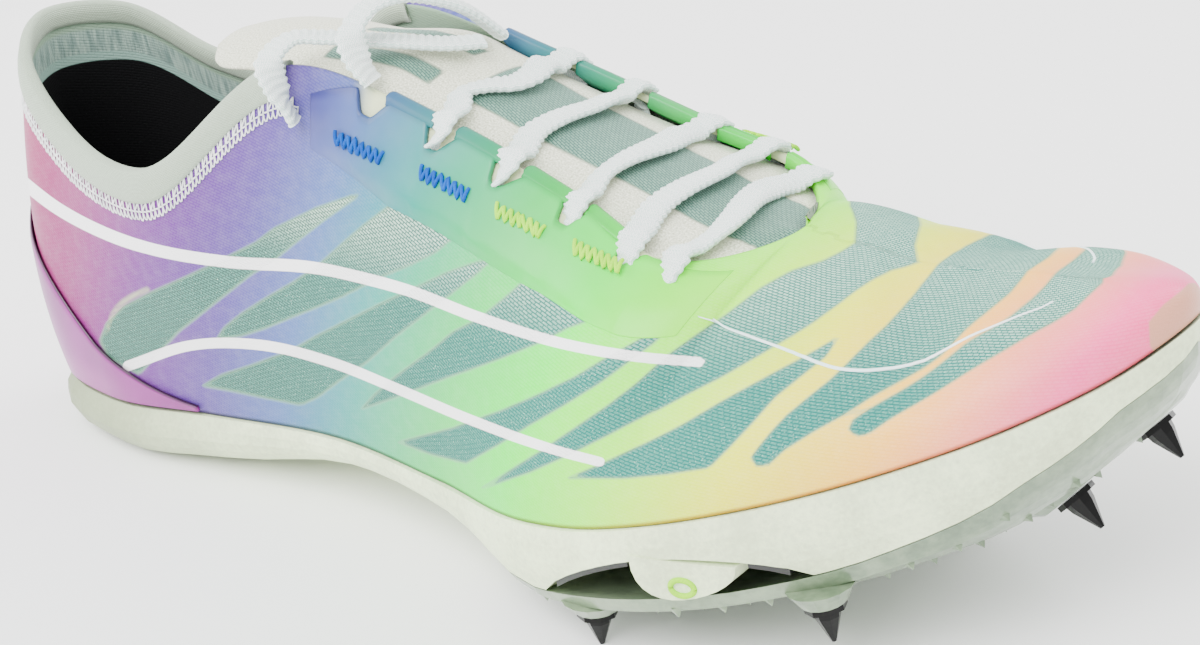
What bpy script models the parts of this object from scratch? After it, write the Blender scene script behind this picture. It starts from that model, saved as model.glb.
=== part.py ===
"""A right-foot track spike shoe: a hollow upper with its films and tongue, a foam midsole
with a window over the forefoot plate, six steel pins and flat laces.

The shoe stands on its rear pins and on its heel. X runs from heel to toe, +Y is the inner
(medial) side of the foot and Z is up. The origin is the middle of the heel's flat spot,
on the floor. All sizes are in metres.
"""

import math

import bmesh
import bpy
import numpy as np
from mathutils import Vector

MM = 0.001
GAP = 0.3 * MM
MERGE = 0.02 * MM
SHARP_EDGE = math.radians(40)

# Driving sizes of the last.
LENGTH = 282 * MM
BALL_WIDTH = 92 * MM
INSTEP_HEIGHT = 84 * MM
HEEL_STACK = 12 * MM
TOE_LIFT = 53.5 * MM
HEEL_TO_ORIGIN = 40.5 * MM

# Walls and widths of the upper's pieces.
UPPER_WALL = 1.4 * MM
COLLAR_WIDTH = 9 * MM
COLLAR_WALL = 1.2 * MM
COLLAR_DROP = 0.3 * MM
COUNTER_WALL = 0.8 * MM
EYESTAY_WALL = 0.9 * MM
FILM_GAP = 0.4 * MM
NOTCH_DEPTH = 5 * MM
TONGUE_WALL = 2 * MM
TONGUE_CROWN = 3 * MM
TONGUE_SWELL = 0.6
TONGUE_CLEAR = 0.9 * MM
INSOLE_WALL = 3 * MM
INSOLE_INSET = 3.2 * MM
LACE_WIDTH = 5 * MM
LACE_THICK = 1.8 * MM
LACE_GAP = 0.5 * MM

# Sizes of the sole.
PLATE_WALL = 3 * MM
SOLE_LIP = 0.7 * MM
CARBON_WALL = 1.2 * MM
CARBON_REACH = 0.6 * MM
CARBON_SLACK = 0.5 * MM
CARBON_END = 4 * MM
WINDOW_RISE = 9.3 * MM
WINDOW_START = 171.5 * MM
WINDOW_LENGTH = 58 * MM
WINDOW_FULLNESS = 0.7
POD_START = 195.5 * MM
POD_LENGTH = 21 * MM
POD_DEPTH = 12 * MM
POD_ROOT = 1.5 * MM
POD_PROUD = 2 * MM
POD_FULLNESS = 0.75

# Sizes of a pin and of the boss that it screws into.
PIN_LENGTH = 7 * MM
PIN_RADIUS = 2.9 * MM
PIN_TIP = 0.5 * MM
PIN_SHOULDER = 0.9
PIN_SHOULDER_DEPTH = 0.22
WASHER_RADIUS = 4.2 * MM
WASHER_WALL = 1.1 * MM
BOSS_RADIUS = 6 * MM
BOSS_FOOT = 9 * MM
BOSS_DEPTH = 2.2 * MM
BOSS_ROOT = 1.3 * MM

# The last, a row for each section from the back of the heel to the toe's tip. along,
# outer and inner place the upper's bottom edge and seat is its height; top_ columns
# place the collar, the throat and then the ridge of the toe box over it. The last four
# columns shape the wall between them.
#   along      share of LENGTH         outer, inner   shares of BALL_WIDTH
#   seat       share of TOE_LIFT       top_rise       share of INSTEP_HEIGHT
#   low_out, top_out  shares of BALL_WIDTH     low_up, top_down  shares of INSTEP_HEIGHT
LAST_COLUMNS = (
    "along", "outer", "inner", "seat", "top_along", "top_outer", "top_inner", "top_rise",
    "low_out", "low_up", "top_out", "top_down",
)
LAST = {
    "back":   (0.000, 0.000, 0.000, 0.00, -0.006, 0.000, 0.000, 0.964, 0.076, 0.345, 0.010, 0.298),
    "corner": (0.023, 0.200, 0.190, 0.01, 0.023, 0.158, 0.180, 0.924, 0.065, 0.333, 0.045, 0.262),
    "heel":   (0.102, 0.293, 0.293, 0.03, 0.096, 0.261, 0.272, 0.768, 0.040, 0.250, 0.035, 0.202),
    "ankle":  (0.212, 0.302, 0.310, 0.09, 0.199, 0.337, 0.299, 0.695, 0.036, 0.220, 0.022, 0.185),
    "collar": (0.353, 0.304, 0.250, 0.15, 0.337, 0.212, 0.211, 0.963, 0.045, 0.357, 0.059, 0.294),
    "waist":  (0.482, 0.391, 0.261, 0.19, 0.470, 0.185, 0.230, 0.845, 0.045, 0.313, 0.135, 0.171),
    "joint":  (0.597, 0.516, 0.348, 0.28, 0.599, 0.202, 0.260, 0.650, 0.034, 0.270, 0.182, 0.090),
    "throat": (0.647, 0.530, 0.397, 0.33, 0.674, 0.239, 0.262, 0.550, 0.028, 0.262, 0.200, 0.036),
    "ball":   (0.691, 0.524, 0.440, 0.39, 0.727, -0.033, 0.033, 0.500, 0.023, 0.255, 0.283, -0.010),
    "tread":  (0.780, 0.452, 0.491, 0.52, 0.780, -0.054, 0.054, 0.380, 0.022, 0.212, 0.277, -0.006),
    "toes":   (0.860, 0.343, 0.465, 0.66, 0.840, -0.073, 0.073, 0.274, 0.020, 0.152, 0.228, 0.018),
    "cap":    (0.935, 0.200, 0.395, 0.82, 0.892, -0.089, 0.089, 0.191, 0.020, 0.154, 0.180, 0.012),
    "front":  (0.974, 0.045, 0.300, 0.91, 0.923, -0.098, 0.098, 0.132, 0.018, 0.121, 0.138, 0.006),
    "tip":    (0.996, -0.140, 0.140, 0.99, 0.937, -0.104, 0.104, 0.086, 0.018, 0.111, 0.127, 0.004),
}
STATION = {name: number for number, name in enumerate(LAST)}
TIP = STATION["tip"]
BALL = STATION["ball"]


def smooth_curve(points, closed=False):
    """A curve through the points, as a function of a point's number. The first three
    columns are the place, and they set how far apart two points count."""
    points = np.asarray(points, float)
    count = len(points)
    if closed:
        ring = np.vstack([points[-1:], points, points[:2]])
    else:
        ring = np.vstack([2 * points[:1] - points[1:2], points, 2 * points[-1:] - points[-2:-1]])
    span = np.linalg.norm(np.diff(ring[:, :3], axis=0), axis=1)[:, None]

    def at(number):
        number = np.atleast_1d(np.asarray(number, float))
        number = number % count if closed else number
        last = count - 1 if closed else count - 2
        first = np.clip(np.floor(number).astype(int), 0, last)
        share = (number - first)[:, None]
        before, here, after, beyond = (ring[first + step] for step in range(4))
        back, mid, ahead = (span[first + step] for step in range(3))
        leave = ((here - before) / back * mid + (after - here) / mid * back) / (back + mid)
        arrive = ((after - here) / mid * ahead + (beyond - after) / ahead * mid) / (mid + ahead)
        square, cube = share**2, share**3
        return (
            (2 * cube - 3 * square + 1) * here
            + (cube - 2 * square + share) * mid * leave
            + (3 * square - 2 * cube) * after
            + (cube - square) * mid * arrive
        )

    return at


def last_row(name):
    return dict(zip(LAST_COLUMNS, LAST[name]))


def seat_height(seat):
    return HEEL_STACK + seat * TOE_LIFT


def foot_point(name, side):
    """The upper's bottom edge at a section, on the outer (-1) or inner (+1) side, and the
    four sizes that shape its wall there."""
    row = last_row(name)
    across = row["inner"] if side > 0 else -row["outer"]
    return (
        row["along"] * LENGTH - HEEL_TO_ORIGIN,
        across * BALL_WIDTH,
        seat_height(row["seat"]),
        row["low_out"] * BALL_WIDTH,
        row["low_up"] * INSTEP_HEIGHT,
        row["top_out"] * BALL_WIDTH,
        row["top_down"] * INSTEP_HEIGHT,
    )


def top_point(name, side):
    """The collar, throat or ridge over a section."""
    row = last_row(name)
    across = row["top_inner"] if side > 0 else -row["top_outer"]
    height = seat_height(row["seat"]) + row["top_rise"] * INSTEP_HEIGHT
    return row["top_along"] * LENGTH - HEEL_TO_ORIGIN, across * BALL_WIDTH, height


NAMES = list(LAST)
FOOT = smooth_curve(
    [foot_point(name, -1) for name in NAMES]
    + [foot_point(name, 1) for name in NAMES[TIP - 1 : 0 : -1]],
    closed=True,
)
RIM = smooth_curve(
    [top_point(name, -1) for name in NAMES[BALL::-1]]
    + [top_point(name, 1) for name in NAMES[1:BALL]],
    closed=True,
)
RIDGE = smooth_curve([top_point(name, 1) for name in NAMES[BALL:]])


def turn_outward(station):
    """The level direction that points out of the shoe, square to its outline."""
    step = 0.02
    run = FOOT(station + step)[:, :3] - FOOT(station - step)[:, :3]
    out = np.stack([run[:, 1], -run[:, 0], np.zeros(len(run))], axis=1)
    return out / np.linalg.norm(out, axis=1)[:, None]


def fold(station):
    """A station's number counted from the heel on its own side, and +1 on the inner side."""
    station = np.asarray(station, float) % (2 * TIP)
    inner = station > TIP
    return np.where(inner, 2 * TIP - station, station), np.where(inner, 1, -1)


def top_line(station):
    """The top of the wall at each station, and how steeply the ridge climbs there."""
    number, side = fold(station)
    on_ridge = number > BALL
    rim = RIM(BALL + side * np.minimum(number, BALL))
    ridge_number = np.maximum(number - BALL, 0)
    ridge = RIDGE(ridge_number)
    step = 0.05
    run = RIDGE(ridge_number + step) - RIDGE(np.maximum(ridge_number - step, 0))
    climb = run[:, 2] / run[:, 0]
    climb = climb * np.clip(number - BALL + 1, 0, 1)
    return np.where(on_ridge[:, None], ridge, rim), climb


def skin(station, share, lift=0.0):
    """Points of the upper's outer face. station runs round the shoe, outer side first, and
    share runs up the wall from 0 to 1. lift is a distance out from that face."""
    station, share = np.broadcast_arrays(np.asarray(station, float), np.asarray(share, float))
    shape = station.shape
    station, share = station.ravel(), share.ravel()
    points = wall(station, share)
    if np.any(lift):
        step = 0.03
        inside = np.clip(share, step, 0.96 - step)
        along = wall(station + step, inside) - wall(station - step, inside)
        up = wall(station, inside + step) - wall(station, inside - step)
        normal = np.cross(along, up)
        normal /= np.linalg.norm(normal, axis=1)[:, None]
        points = points + normal * np.broadcast_to(lift, shape).ravel()[:, None]
    return points.reshape(*shape, 3)


def wall(station, share):
    foot = FOOT(station)
    top, climb = top_line(station)
    out = turn_outward(station)
    up = np.array([0.0, 0.0, 1.0])
    low = foot[:, :3] + out * foot[:, 3:4] + up * foot[:, 4:5]
    lean = climb * out[:, 0] * foot[:, 5]
    high = top + out * foot[:, 5:6] + up * (lean - foot[:, 6])[:, None]
    share = share[:, None]
    rest = 1 - share
    return (
        rest**3 * foot[:, :3]
        + 3 * rest**2 * share * low
        + 3 * rest * share**2 * high
        + share**3 * top
    )


def share_below_top(station, distance):
    """The share of the wall's height that lies this far below its top, along the wall."""
    station = np.asarray(station, float)
    distance = np.broadcast_to(distance, station.shape)
    samples = np.linspace(0, 1, 33)
    lines = skin(station[:, None], samples[None, :])
    steps = np.linalg.norm(np.diff(lines, axis=1), axis=2)
    length = np.concatenate([np.zeros((len(station), 1)), np.cumsum(steps, axis=1)], axis=1)
    return np.array(
        [np.interp(row[-1] - far, row, samples) for row, far in zip(length, distance)]
    )


def side_station(number, side):
    """The station of a section's number on the outer (-1) or inner (+1) side."""
    number = np.asarray(number, float)
    return number if side < 0 else (2 * TIP - number) % (2 * TIP)


# The sole under each section. edge and belly are the heights of its underside at the
# rim and in the middle, flare and tuck are how far its side bulges and how far its lower
# rim is drawn in, and rand is how thick the forefoot plate is at its rim.
#   edge, belly   shares of TOE_LIFT      flare, tuck   shares of BALL_WIDTH
#   rand          multiples of PLATE_WALL
SOLE = {
    "back":   (0.112, 0.112, 0.030, 0.010, 0.0),
    "corner": (0.056, -0.020, 0.030, 0.010, 0.0),
    "heel":   (0.034, -0.030, 0.030, 0.005, 0.0),
    "ankle":  (0.100, 0.020, 0.022, 0.015, 0.0),
    "collar": (0.224, 0.165, 0.012, 0.035, 0.0),
    "waist":  (0.240, 0.165, 0.012, 0.030, 0.4),
    "joint":  (0.185, 0.150, 0.016, 0.010, 0.8),
    "throat": (0.215, 0.150, 0.016, 0.010, 1.1),
    "ball":   (0.255, 0.178, 0.016, 0.012, 1.2),
    "tread":  (0.355, 0.268, 0.016, 0.020, 1.3),
    "toes":   (0.486, 0.402, 0.014, 0.030, 1.6),
    "cap":    (0.685, 0.615, 0.012, 0.034, 2.4),
    "front":  (0.835, 0.795, 0.012, 0.030, 3.2),
    "tip":    (0.945, 0.945, 0.012, 0.026, 3.6),
}
UNDERSIDE = smooth_curve(
    [(LAST[name][0], 0, 0) + SOLE[name] for name in NAMES]
)
FLAT_SHARE = 0.55
RAND_LEAST = 0.4
# The section number where the plate starts, and the short step of the foam up to it.
PLATE_START = 5.35
PLATE_JOINT = 0.06
FOAM_STEP = 0.03
SIDE_STEPS = 5
CROSS_SHARES = (-0.86, -0.68, -0.35, 0.0, 0.35, 0.68, 0.86)


class Section:
    """One cut across the sole, with its outer and inner rim."""

    def __init__(self, number):
        row = UNDERSIDE(number)[0, 3:]
        self.edge = row[0] * TOE_LIFT
        self.belly = max(row[1] * TOE_LIFT, 0.0)
        self.edge = max(self.edge, self.belly)
        self.flare = row[2] * BALL_WIDTH
        self.tuck = row[3] * BALL_WIDTH
        self.rand = max(row[4], RAND_LEAST) * PLATE_WALL
        self.feet = {}
        self.outs = {}
        for side in (-1, 1):
            station = side_station(number, side)
            self.feet[side] = FOOT(station)[0, :3]
            self.outs[side] = turn_outward(station)[0]
        self.top = self.feet[-1][2] - GAP

    def side(self, side, down):
        """A point of the side wall, at a share of the way down it."""
        bulge = (
            (1 - down) ** 2 * SOLE_LIP
            + 2 * down * (1 - down) * (SOLE_LIP + 2 * self.flare)
            - down**2 * self.tuck
        )
        point = self.feet[side] + self.outs[side] * bulge
        point[2] = self.top + (self.edge - self.top) * down
        return point

    def down_to(self, height):
        return (self.top - height) / (self.top - self.edge)

    def bottom(self, across):
        slope = max(abs(across) - FLAT_SHARE, 0) / (1 - FLAT_SHARE)
        return self.belly + (self.edge - self.belly) * slope**2

    def cross(self, down, lift):
        """Points of the underside, raised by lift, from the inner rim to the outer."""
        outer, inner = self.side(-1, down), self.side(1, down)
        points = []
        for share in reversed(CROSS_SHARES):
            point = outer + (inner - outer) * (share + 1) / 2
            point[2] = self.bottom(share) + lift
            points.append(point)
        return points


def loft(name, rings, material, closed_ring=True, caps=(False, False)):
    """A skin over the rings, whose end rings close on themselves or take a cap. The
    quads of a closed body are split from its outer to its inner side, so that two
    bodies lofted over the same sections keep the same gap everywhere."""
    mesh = bmesh.new()
    rows = [[mesh.verts.new(point) for point in ring] for ring in rings]
    size = len(rows[0])
    last = size if closed_ring else size - 1
    for row, other in zip(rows, rows[1:]):
        for place in range(last):
            beside = (place + 1) % size
            quad = [row[place], other[place], other[beside], row[beside]]
            if not closed_ring:
                mesh.faces.new(quad)
            elif row[place].co.y <= row[beside].co.y:
                mesh.faces.new(quad[:3])
                mesh.faces.new([quad[0], quad[2], quad[3]])
            else:
                mesh.faces.new([quad[0], quad[1], quad[3]])
                mesh.faces.new(quad[1:])
    if caps[0]:
        mesh.faces.new(rows[0])
    if caps[1]:
        mesh.faces.new(rows[-1][::-1])
    bmesh.ops.remove_doubles(mesh, verts=mesh.verts, dist=MERGE)
    bmesh.ops.dissolve_degenerate(mesh, edges=mesh.edges, dist=MERGE)
    if closed_ring:
        bmesh.ops.recalc_face_normals(mesh, faces=mesh.faces)
    return finish(name, mesh, material)


def finish(name, mesh, material, smooth=True):
    data = bpy.data.meshes.new(name)
    mesh.to_mesh(data)
    mesh.free()
    part = bpy.data.objects.new(name, data)
    PARTS.objects.link(part)
    data.materials.append(material)
    if smooth:
        data.shade_smooth()
        data.set_sharp_from_angle(angle=SHARP_EDGE)
    return part


def make_material(name, colour, roughness, metallic=0.0):
    material = bpy.data.materials.new(name)
    material.use_nodes = True
    shader = material.node_tree.nodes["Principled BSDF"]
    shader.inputs["Base Color"].default_value = (*colour, 1)
    shader.inputs["Roughness"].default_value = roughness
    shader.inputs["Metallic"].default_value = metallic
    return material


def thicken(part, wall, outward):
    solid = part.modifiers.new("Wall", "SOLIDIFY")
    solid.thickness = wall
    solid.offset = 1 if outward else -1
    solid.use_rim = True


def boolean(part, cutter, operation):
    cut = part.modifiers.new(operation.title(), "BOOLEAN")
    cut.operation = operation
    cut.solver = "EXACT"
    cut.object = cutter
    return cut


def as_cutter(part):
    """Keeps a body that only shapes others out of the parts and out of sight."""
    if part.name in PARTS.objects:
        PARTS.objects.unlink(part)
    CUTTERS.objects.link(part)
    part.hide_render = True
    part.display_type = "WIRE"
    return part


def make_upper(material):
    """The whole upper as one hollow wall, open at the collar and throat and underneath."""
    stations = np.arange(0, 2 * TIP, 0.25)
    shares = np.linspace(0, 1, 8)
    rings = [skin(station, shares) for station in stations]
    rings.append(rings[0])
    upper = loft("upper", rings, material, closed_ring=False)
    thicken(upper, UPPER_WALL, outward=False)
    return upper


def make_overlay(name, stations, low, high, rows, wall_size, material):
    """A film over the upper between two lines, given as shares of the wall's height."""
    stations = np.asarray(stations, float)
    blend = np.linspace(0, 1, rows)
    rings = [
        skin(station, start + (end - start) * blend, FILM_GAP)
        for station, start, end in zip(stations, low, high)
    ]
    film = loft(name, rings, material, closed_ring=False)
    thicken(film, wall_size, outward=True)
    return film


def sole_rows(start):
    """Section numbers along the sole from start to the toe."""
    numbers = np.arange(0, TIP + 0.01, 0.25)
    return [float(number) for number in numbers if number > start + 0.1]


def side_wall(section, side, first, last):
    return [section.side(side, down) for down in np.linspace(first, last, SIDE_STEPS)]


def foam_ring(number):
    """The midsole's cut: its top, its sides and an underside that the plate fits into."""
    section = Section(number)
    lift = section.rand + GAP if number > PLATE_START else 0.0
    end = section.down_to(section.edge + lift)
    ring = side_wall(section, -1, 0, end)
    ring += section.cross(end, lift)[::-1]
    ring += side_wall(section, 1, end, 0)
    outer, inner = section.side(-1, 0), section.side(1, 0)
    ring += [inner + (outer - inner) * share for share in (0.25, 0.5, 0.75)]
    return ring


def plate_ring(number):
    """The forefoot plate's cut, from its top against the foam down to the underside."""
    section = Section(number)
    start = section.down_to(section.edge + section.rand)
    ring = side_wall(section, -1, start, 1)
    ring += section.cross(1, 0)[::-1]
    ring += side_wall(section, 1, 1, start)
    ring += section.cross(start, section.rand)
    return ring


EDGE_NUMBERS = np.linspace(STATION["collar"], STATION["cap"], 121)
EDGE_SECTIONS = [Section(number) for number in EDGE_NUMBERS]
EDGE_ALONG = {side: [cut.feet[side][0] for cut in EDGE_SECTIONS] for side in (-1, 1)}


def rand_height(along, side=-1):
    """How high the forefoot plate's rim reaches, at a place along the shoe."""
    return np.interp(along, EDGE_ALONG[side], [cut.edge + cut.rand for cut in EDGE_SECTIONS])


def rim_across(along, side):
    return np.interp(along, EDGE_ALONG[side], [cut.feet[side][1] for cut in EDGE_SECTIONS])


WINDOW_SHARES = np.linspace(0, 1, 15)
ROOF_ALONG = WINDOW_START - HEEL_TO_ORIGIN + WINDOW_LENGTH * WINDOW_SHARES
ROOF_ARCH = np.abs(np.sin(math.pi * WINDOW_SHARES)) ** WINDOW_FULLNESS
ROOF = rand_height(ROOF_ALONG) + WINDOW_RISE * ROOF_ARCH


def window_top(along):
    """The roof of the sole's window, at a place along the shoe."""
    return np.interp(along, ROOF_ALONG, ROOF)


def prism(name, outline, near, far, material):
    """A side-view outline, drawn out across the shoe from near to far."""
    rings = [[(along, across, height) for along, height in outline] for across in (near, far)]
    return loft(name, rings, material, caps=(True, True))


def make_midsole(material):
    numbers = [0.0] + sole_rows(0) + [PLATE_START - FOAM_STEP, PLATE_START + FOAM_STEP]
    midsole = loft("midsole", [foam_ring(number) for number in sorted(numbers)], material)
    roof = list(zip(ROOF_ALONG, ROOF))
    floor = [(ROOF_ALONG[-1], 0.0), (ROOF_ALONG[0], 0.0)]
    tunnel = prism("window_cut", roof + floor, -BALL_WIDTH, BALL_WIDTH, material)
    boolean(midsole, as_cutter(tunnel), "DIFFERENCE")
    for side in (-1, 1):
        boolean(midsole, as_cutter(make_pod(side, material)), "UNION")
    return midsole


def make_pod(side, material):
    """A lobe of foam that hangs in the window at the shoe's edge, down to the plate."""
    middle = POD_START - HEEL_TO_ORIGIN + POD_LENGTH / 2
    roof = window_top(middle - POD_LENGTH / 2) + POD_ROOT
    rings = []
    for turn in np.linspace(0, math.pi, 15):
        along = middle - math.cos(turn) * POD_LENGTH / 2
        fall = math.sin(turn) ** POD_FULLNESS
        low = roof + (rand_height(along, side) + GAP - roof) * fall
        outer = rim_across(along, side) + side * POD_PROUD
        inner = outer - side * POD_DEPTH
        rings.append(
            [(along, outer, roof), (along, inner, roof), (along, inner, low), (along, outer, low)]
        )
    return loft("pod_cut", rings, material)


def make_carbon_plate(material):
    """The springy plate under the window's roof, arched with it and narrow at the pods."""
    pod = POD_START - HEEL_TO_ORIGIN
    clear = 2 * CARBON_SLACK
    ends = (pod - clear, pod + POD_LENGTH + clear)
    stops = np.linspace(ROOF_ALONG[0] + CARBON_END, ROOF_ALONG[-1] - CARBON_END, 15)
    wide = [stop for stop in stops if not ends[0] - clear < stop < ends[1] + clear]
    wide += [ends[0] - CARBON_SLACK, ends[1] + CARBON_SLACK]
    rows = [(stop, False) for stop in wide] + [(stop, True) for stop in np.linspace(*ends, 6)]
    rings = []
    for along, at_pod in sorted(rows):
        inset = POD_DEPTH + CARBON_SLACK if at_pod else -CARBON_REACH
        outer = rim_across(along, -1) + inset
        inner = rim_across(along, 1) - inset
        top = window_top(along) - GAP
        rings.append(
            [(along, across, height) for across, height in (
                (outer, top), (inner, top), (inner, top - CARBON_WALL), (outer, top - CARBON_WALL)
            )]
        )
    return loft("carbon_plate", rings, material, caps=(True, True))


# The pins: where each stands, as shares of LENGTH from the heel and of BALL_WIDTH from
# the middle, how far it leans forward, in degrees, and how deep and wide its boss is, in
# shares of the BOSS_ sizes. An upright pin's boss is as deep as its point on the floor
# asks for.
PINS = {
    "rear_outer":  (0.637, -0.467, 0, 1, 0.76),
    "rear_inner":  (0.634, 0.350, 0, 1, 0.76),
    "mid_outer":   (0.809, -0.375, 9, 1, 0.76),
    "mid_inner":   (0.800, 0.390, 9, 1, 0.76),
    "front_outer": (0.915, 0.062, 45, 0.55, 1.15),
    "front_inner": (0.929, 0.325, 43, 0.65, 0.85),
}


def pin_seat(name):
    """Where a pin's washer meets its boss, the way the pin points and the boss's height."""
    along, across, lean, depth, _ = PINS[name]
    place = np.array([along * LENGTH - HEEL_TO_ORIGIN, across * BALL_WIDTH, 0.0])
    lean = math.radians(lean)
    way = np.array([math.sin(lean), 0.0, -math.cos(lean)])
    place[2] = underside_at(place)
    drop = BOSS_DEPTH * depth
    if lean == 0:
        drop = place[2] - PIN_LENGTH - WASHER_WALL
    return place + way * drop, way, drop + BOSS_ROOT


NUMBERS = np.linspace(0, TIP, 131)
NUMBERS_ALONG = [FOOT(number)[0, 0] for number in NUMBERS]


def underside_at(place):
    """The height of the sole's underside over a point of the floor."""
    number = np.interp(place[0], NUMBERS_ALONG, NUMBERS)
    section = Section(number)
    outer, inner = section.side(-1, 1)[1], section.side(1, 1)[1]
    share = (place[1] - outer) / (inner - outer) * 2 - 1
    return section.bottom(float(np.clip(share, -1, 1)))


def make_plate(material):
    numbers = [PLATE_START + PLATE_JOINT] + sole_rows(PLATE_START)
    rings = [plate_ring(number) for number in numbers]
    plate = loft("outsole_plate", rings, material, caps=(True, False))
    for name in PINS:
        place, way, height = pin_seat(name)
        boss = make_boss(place - way * GAP, way, height, PINS[name][-1], material)
        boolean(plate, as_cutter(boss), "UNION")
    return plate


def make_boss(foot, way, height, spread, material):
    """The cone under a pin's washer, which widens back into the plate."""
    mesh = bmesh.new()
    bmesh.ops.create_cone(
        mesh,
        cap_ends=True,
        segments=16,
        radius1=BOSS_FOOT * spread,
        radius2=BOSS_RADIUS * spread,
        depth=height,
    )
    boss = finish("boss_cut", mesh, material)
    boss.rotation_mode = "QUATERNION"
    boss.rotation_quaternion = Vector((0, 0, 1)).rotation_difference(Vector(way))
    boss.location = Vector(foot) - Vector(way) * height / 2
    return boss


def make_pin(name, material):
    """A steel pin: a washer, a short shoulder and an eight-sided point."""
    place, way, _ = pin_seat(name)
    tip = WASHER_WALL + PIN_LENGTH
    profile = (
        (0, 0),
        (WASHER_RADIUS, 0),
        (WASHER_RADIUS, WASHER_WALL),
        (PIN_RADIUS, WASHER_WALL),
        (PIN_RADIUS * PIN_SHOULDER, WASHER_WALL + PIN_LENGTH * PIN_SHOULDER_DEPTH),
        (PIN_TIP, tip),
        (0, tip),
    )
    mesh = bmesh.new()
    verts = [mesh.verts.new((radius, 0, -depth)) for radius, depth in profile]
    for first, second in zip(verts, verts[1:]):
        mesh.edges.new((first, second))
    pin = finish("spike_" + name, mesh, material, smooth=False)
    turned = pin.modifiers.new("Turn", "SCREW")
    turned.steps = 8
    turned.render_steps = 8
    turned.use_merge_vertices = True
    turned.merge_threshold = MERGE
    pin.rotation_mode = "QUATERNION"
    pin.rotation_quaternion = Vector((0, 0, -1)).rotation_difference(Vector(way))
    pin.location = place
    return pin


def make_insole(material):
    rings = []
    for number in np.arange(0, TIP + 0.01, 0.5):
        ends = []
        for side in (-1, 1):
            station = side_station(number, side)
            ends.append(FOOT(station)[0, :3] - turn_outward(station)[0] * INSOLE_INSET)
        outer, inner = ends
        lower = [outer + (inner - outer) * share for share in (0, 0.33, 0.67, 1)]
        ring = [point + (0, 0, GAP) for point in lower]
        ring += [point + (0, 0, GAP + INSOLE_WALL) for point in lower[::-1]]
        rings.append(ring)
    return loft("insole", rings, material)


# The tongue's free end over the collar: the middle of each row along the shoe and over
# the heel's seat, its half width and how far its edges hang below its middle.
#   along    share of LENGTH       rise    share of INSTEP_HEIGHT
#   half, hang   shares of BALL_WIDTH
TONGUE_END = {
    "lip":    (0.219, 1.015, 0.070, 0.012),
    "rear":   (0.236, 1.030, 0.135, 0.030),
    "brow":   (0.285, 1.050, 0.165, 0.040),
    "neck":   (0.350, 1.055, 0.155, 0.040),
}
# The tongue under the throat: at each section number, how far below the upper's rim its
# edges tuck in, and how far below the rim its arch leaves the wall.
TONGUE_ROWS = (
    (4.55, 3 * MM, 0.6 * MM),
    (4.8, 5 * MM, 1.0 * MM),
    (5.2, 8 * MM, 3.0 * MM),
    (5.6, 10 * MM, 4.2 * MM),
    (6.0, 10 * MM, 4.4 * MM),
    (6.5, 10 * MM, 4.0 * MM),
    (7.0, 9 * MM, 3.0 * MM),
    (7.5, 8 * MM, 1.8 * MM),
    (8.0, 8 * MM, 1.6 * MM),
    (8.4, 9 * MM, 1.8 * MM),
)
TONGUE_NUMBERS = [row[0] for row in TONGUE_ROWS]
TONGUE_DROPS = [row[2] for row in TONGUE_ROWS]
TONGUE_POINTS = 13
TONGUE_CROWN_END = 8.3
TONGUE_CROWN_FADE = 1.5


def even_steps(points, count):
    points = np.asarray(points)
    steps = np.linalg.norm(np.diff(points, axis=0), axis=1)
    far = np.concatenate([[0], np.cumsum(steps)])
    wanted = np.linspace(0, far[-1], count)
    return np.stack([np.interp(wanted, far, points[:, axis]) for axis in range(3)], axis=1)


def throat_arch(number, drop, count=17):
    """The tongue's arch over the throat, which leaves the walls at a drop below the rim."""
    ends = []
    for side in (-1, 1):
        station = np.array([side_station(number, side)])
        share = share_below_top(station, drop)
        ends.append(skin(station, share, -UPPER_WALL - TONGUE_CLEAR)[0])
    crown = TONGUE_CROWN + drop * TONGUE_SWELL
    crown *= np.clip((TONGUE_CROWN_END - number) / TONGUE_CROWN_FADE, 0, 1)
    across = np.linspace(0, 1, count)[:, None]
    arch = ends[0] + (ends[1] - ends[0]) * across
    arch[:, 2] += crown * (1 - (2 * across[:, 0] - 1) ** 2)
    return arch


def tongue_row(number, tuck, drop):
    arch = throat_arch(number, drop)
    chains = []
    for side in (-1, 1):
        station = np.full(4, side_station(number, side), float)
        share = share_below_top(station, np.linspace(tuck, drop, 4))
        chains.append(skin(station, share, -UPPER_WALL - TONGUE_CLEAR))
    whole = np.vstack([chains[0], arch[1:-1], chains[1][-2::-1]])
    return even_steps(whole, TONGUE_POINTS)


def tongue_end_row(name):
    along, rise, half, hang = TONGUE_END[name]
    share = np.linspace(-1, 1, TONGUE_POINTS)
    middle = np.array([along * LENGTH - HEEL_TO_ORIGIN, 0, HEEL_STACK + rise * INSTEP_HEIGHT])
    row = np.tile(middle, (TONGUE_POINTS, 1))
    row[:, 1] += share * half * BALL_WIDTH
    row[:, 2] -= share**2 * hang * BALL_WIDTH
    return row


def make_tongue(material):
    rows = [tongue_end_row(name) for name in TONGUE_END]
    rows += [tongue_row(*row) for row in TONGUE_ROWS]
    tongue = loft("tongue", rows, material, closed_ring=False)
    thicken(tongue, TONGUE_WALL, outward=False)
    return tongue


# The eyestay's notches, by section number, with each one's length along the film.
NOTCHES = ((4.56, 0.46), (5.02, 0.46), (5.48, 0.46), (5.95, 0.46), (6.62, 0.53))
# A notch's outline: how far along it, as a share of its length, and how deep there.
NOTCH_OUTLINE = ((-0.10, 0.0), (-0.08, 1.0), (0.12, 1.0), (0.34, 0.0), (0.62, 0.0))
# The film's rear and front ends, with their section numbers and how deep they are cut.
EYESTAY_REAR = (4.18, 1.0)
EYESTAY_FRONT = ((7.05, 0.1), (7.22, 0.5), (7.4, 1.0), (7.6, 1.6))
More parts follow.
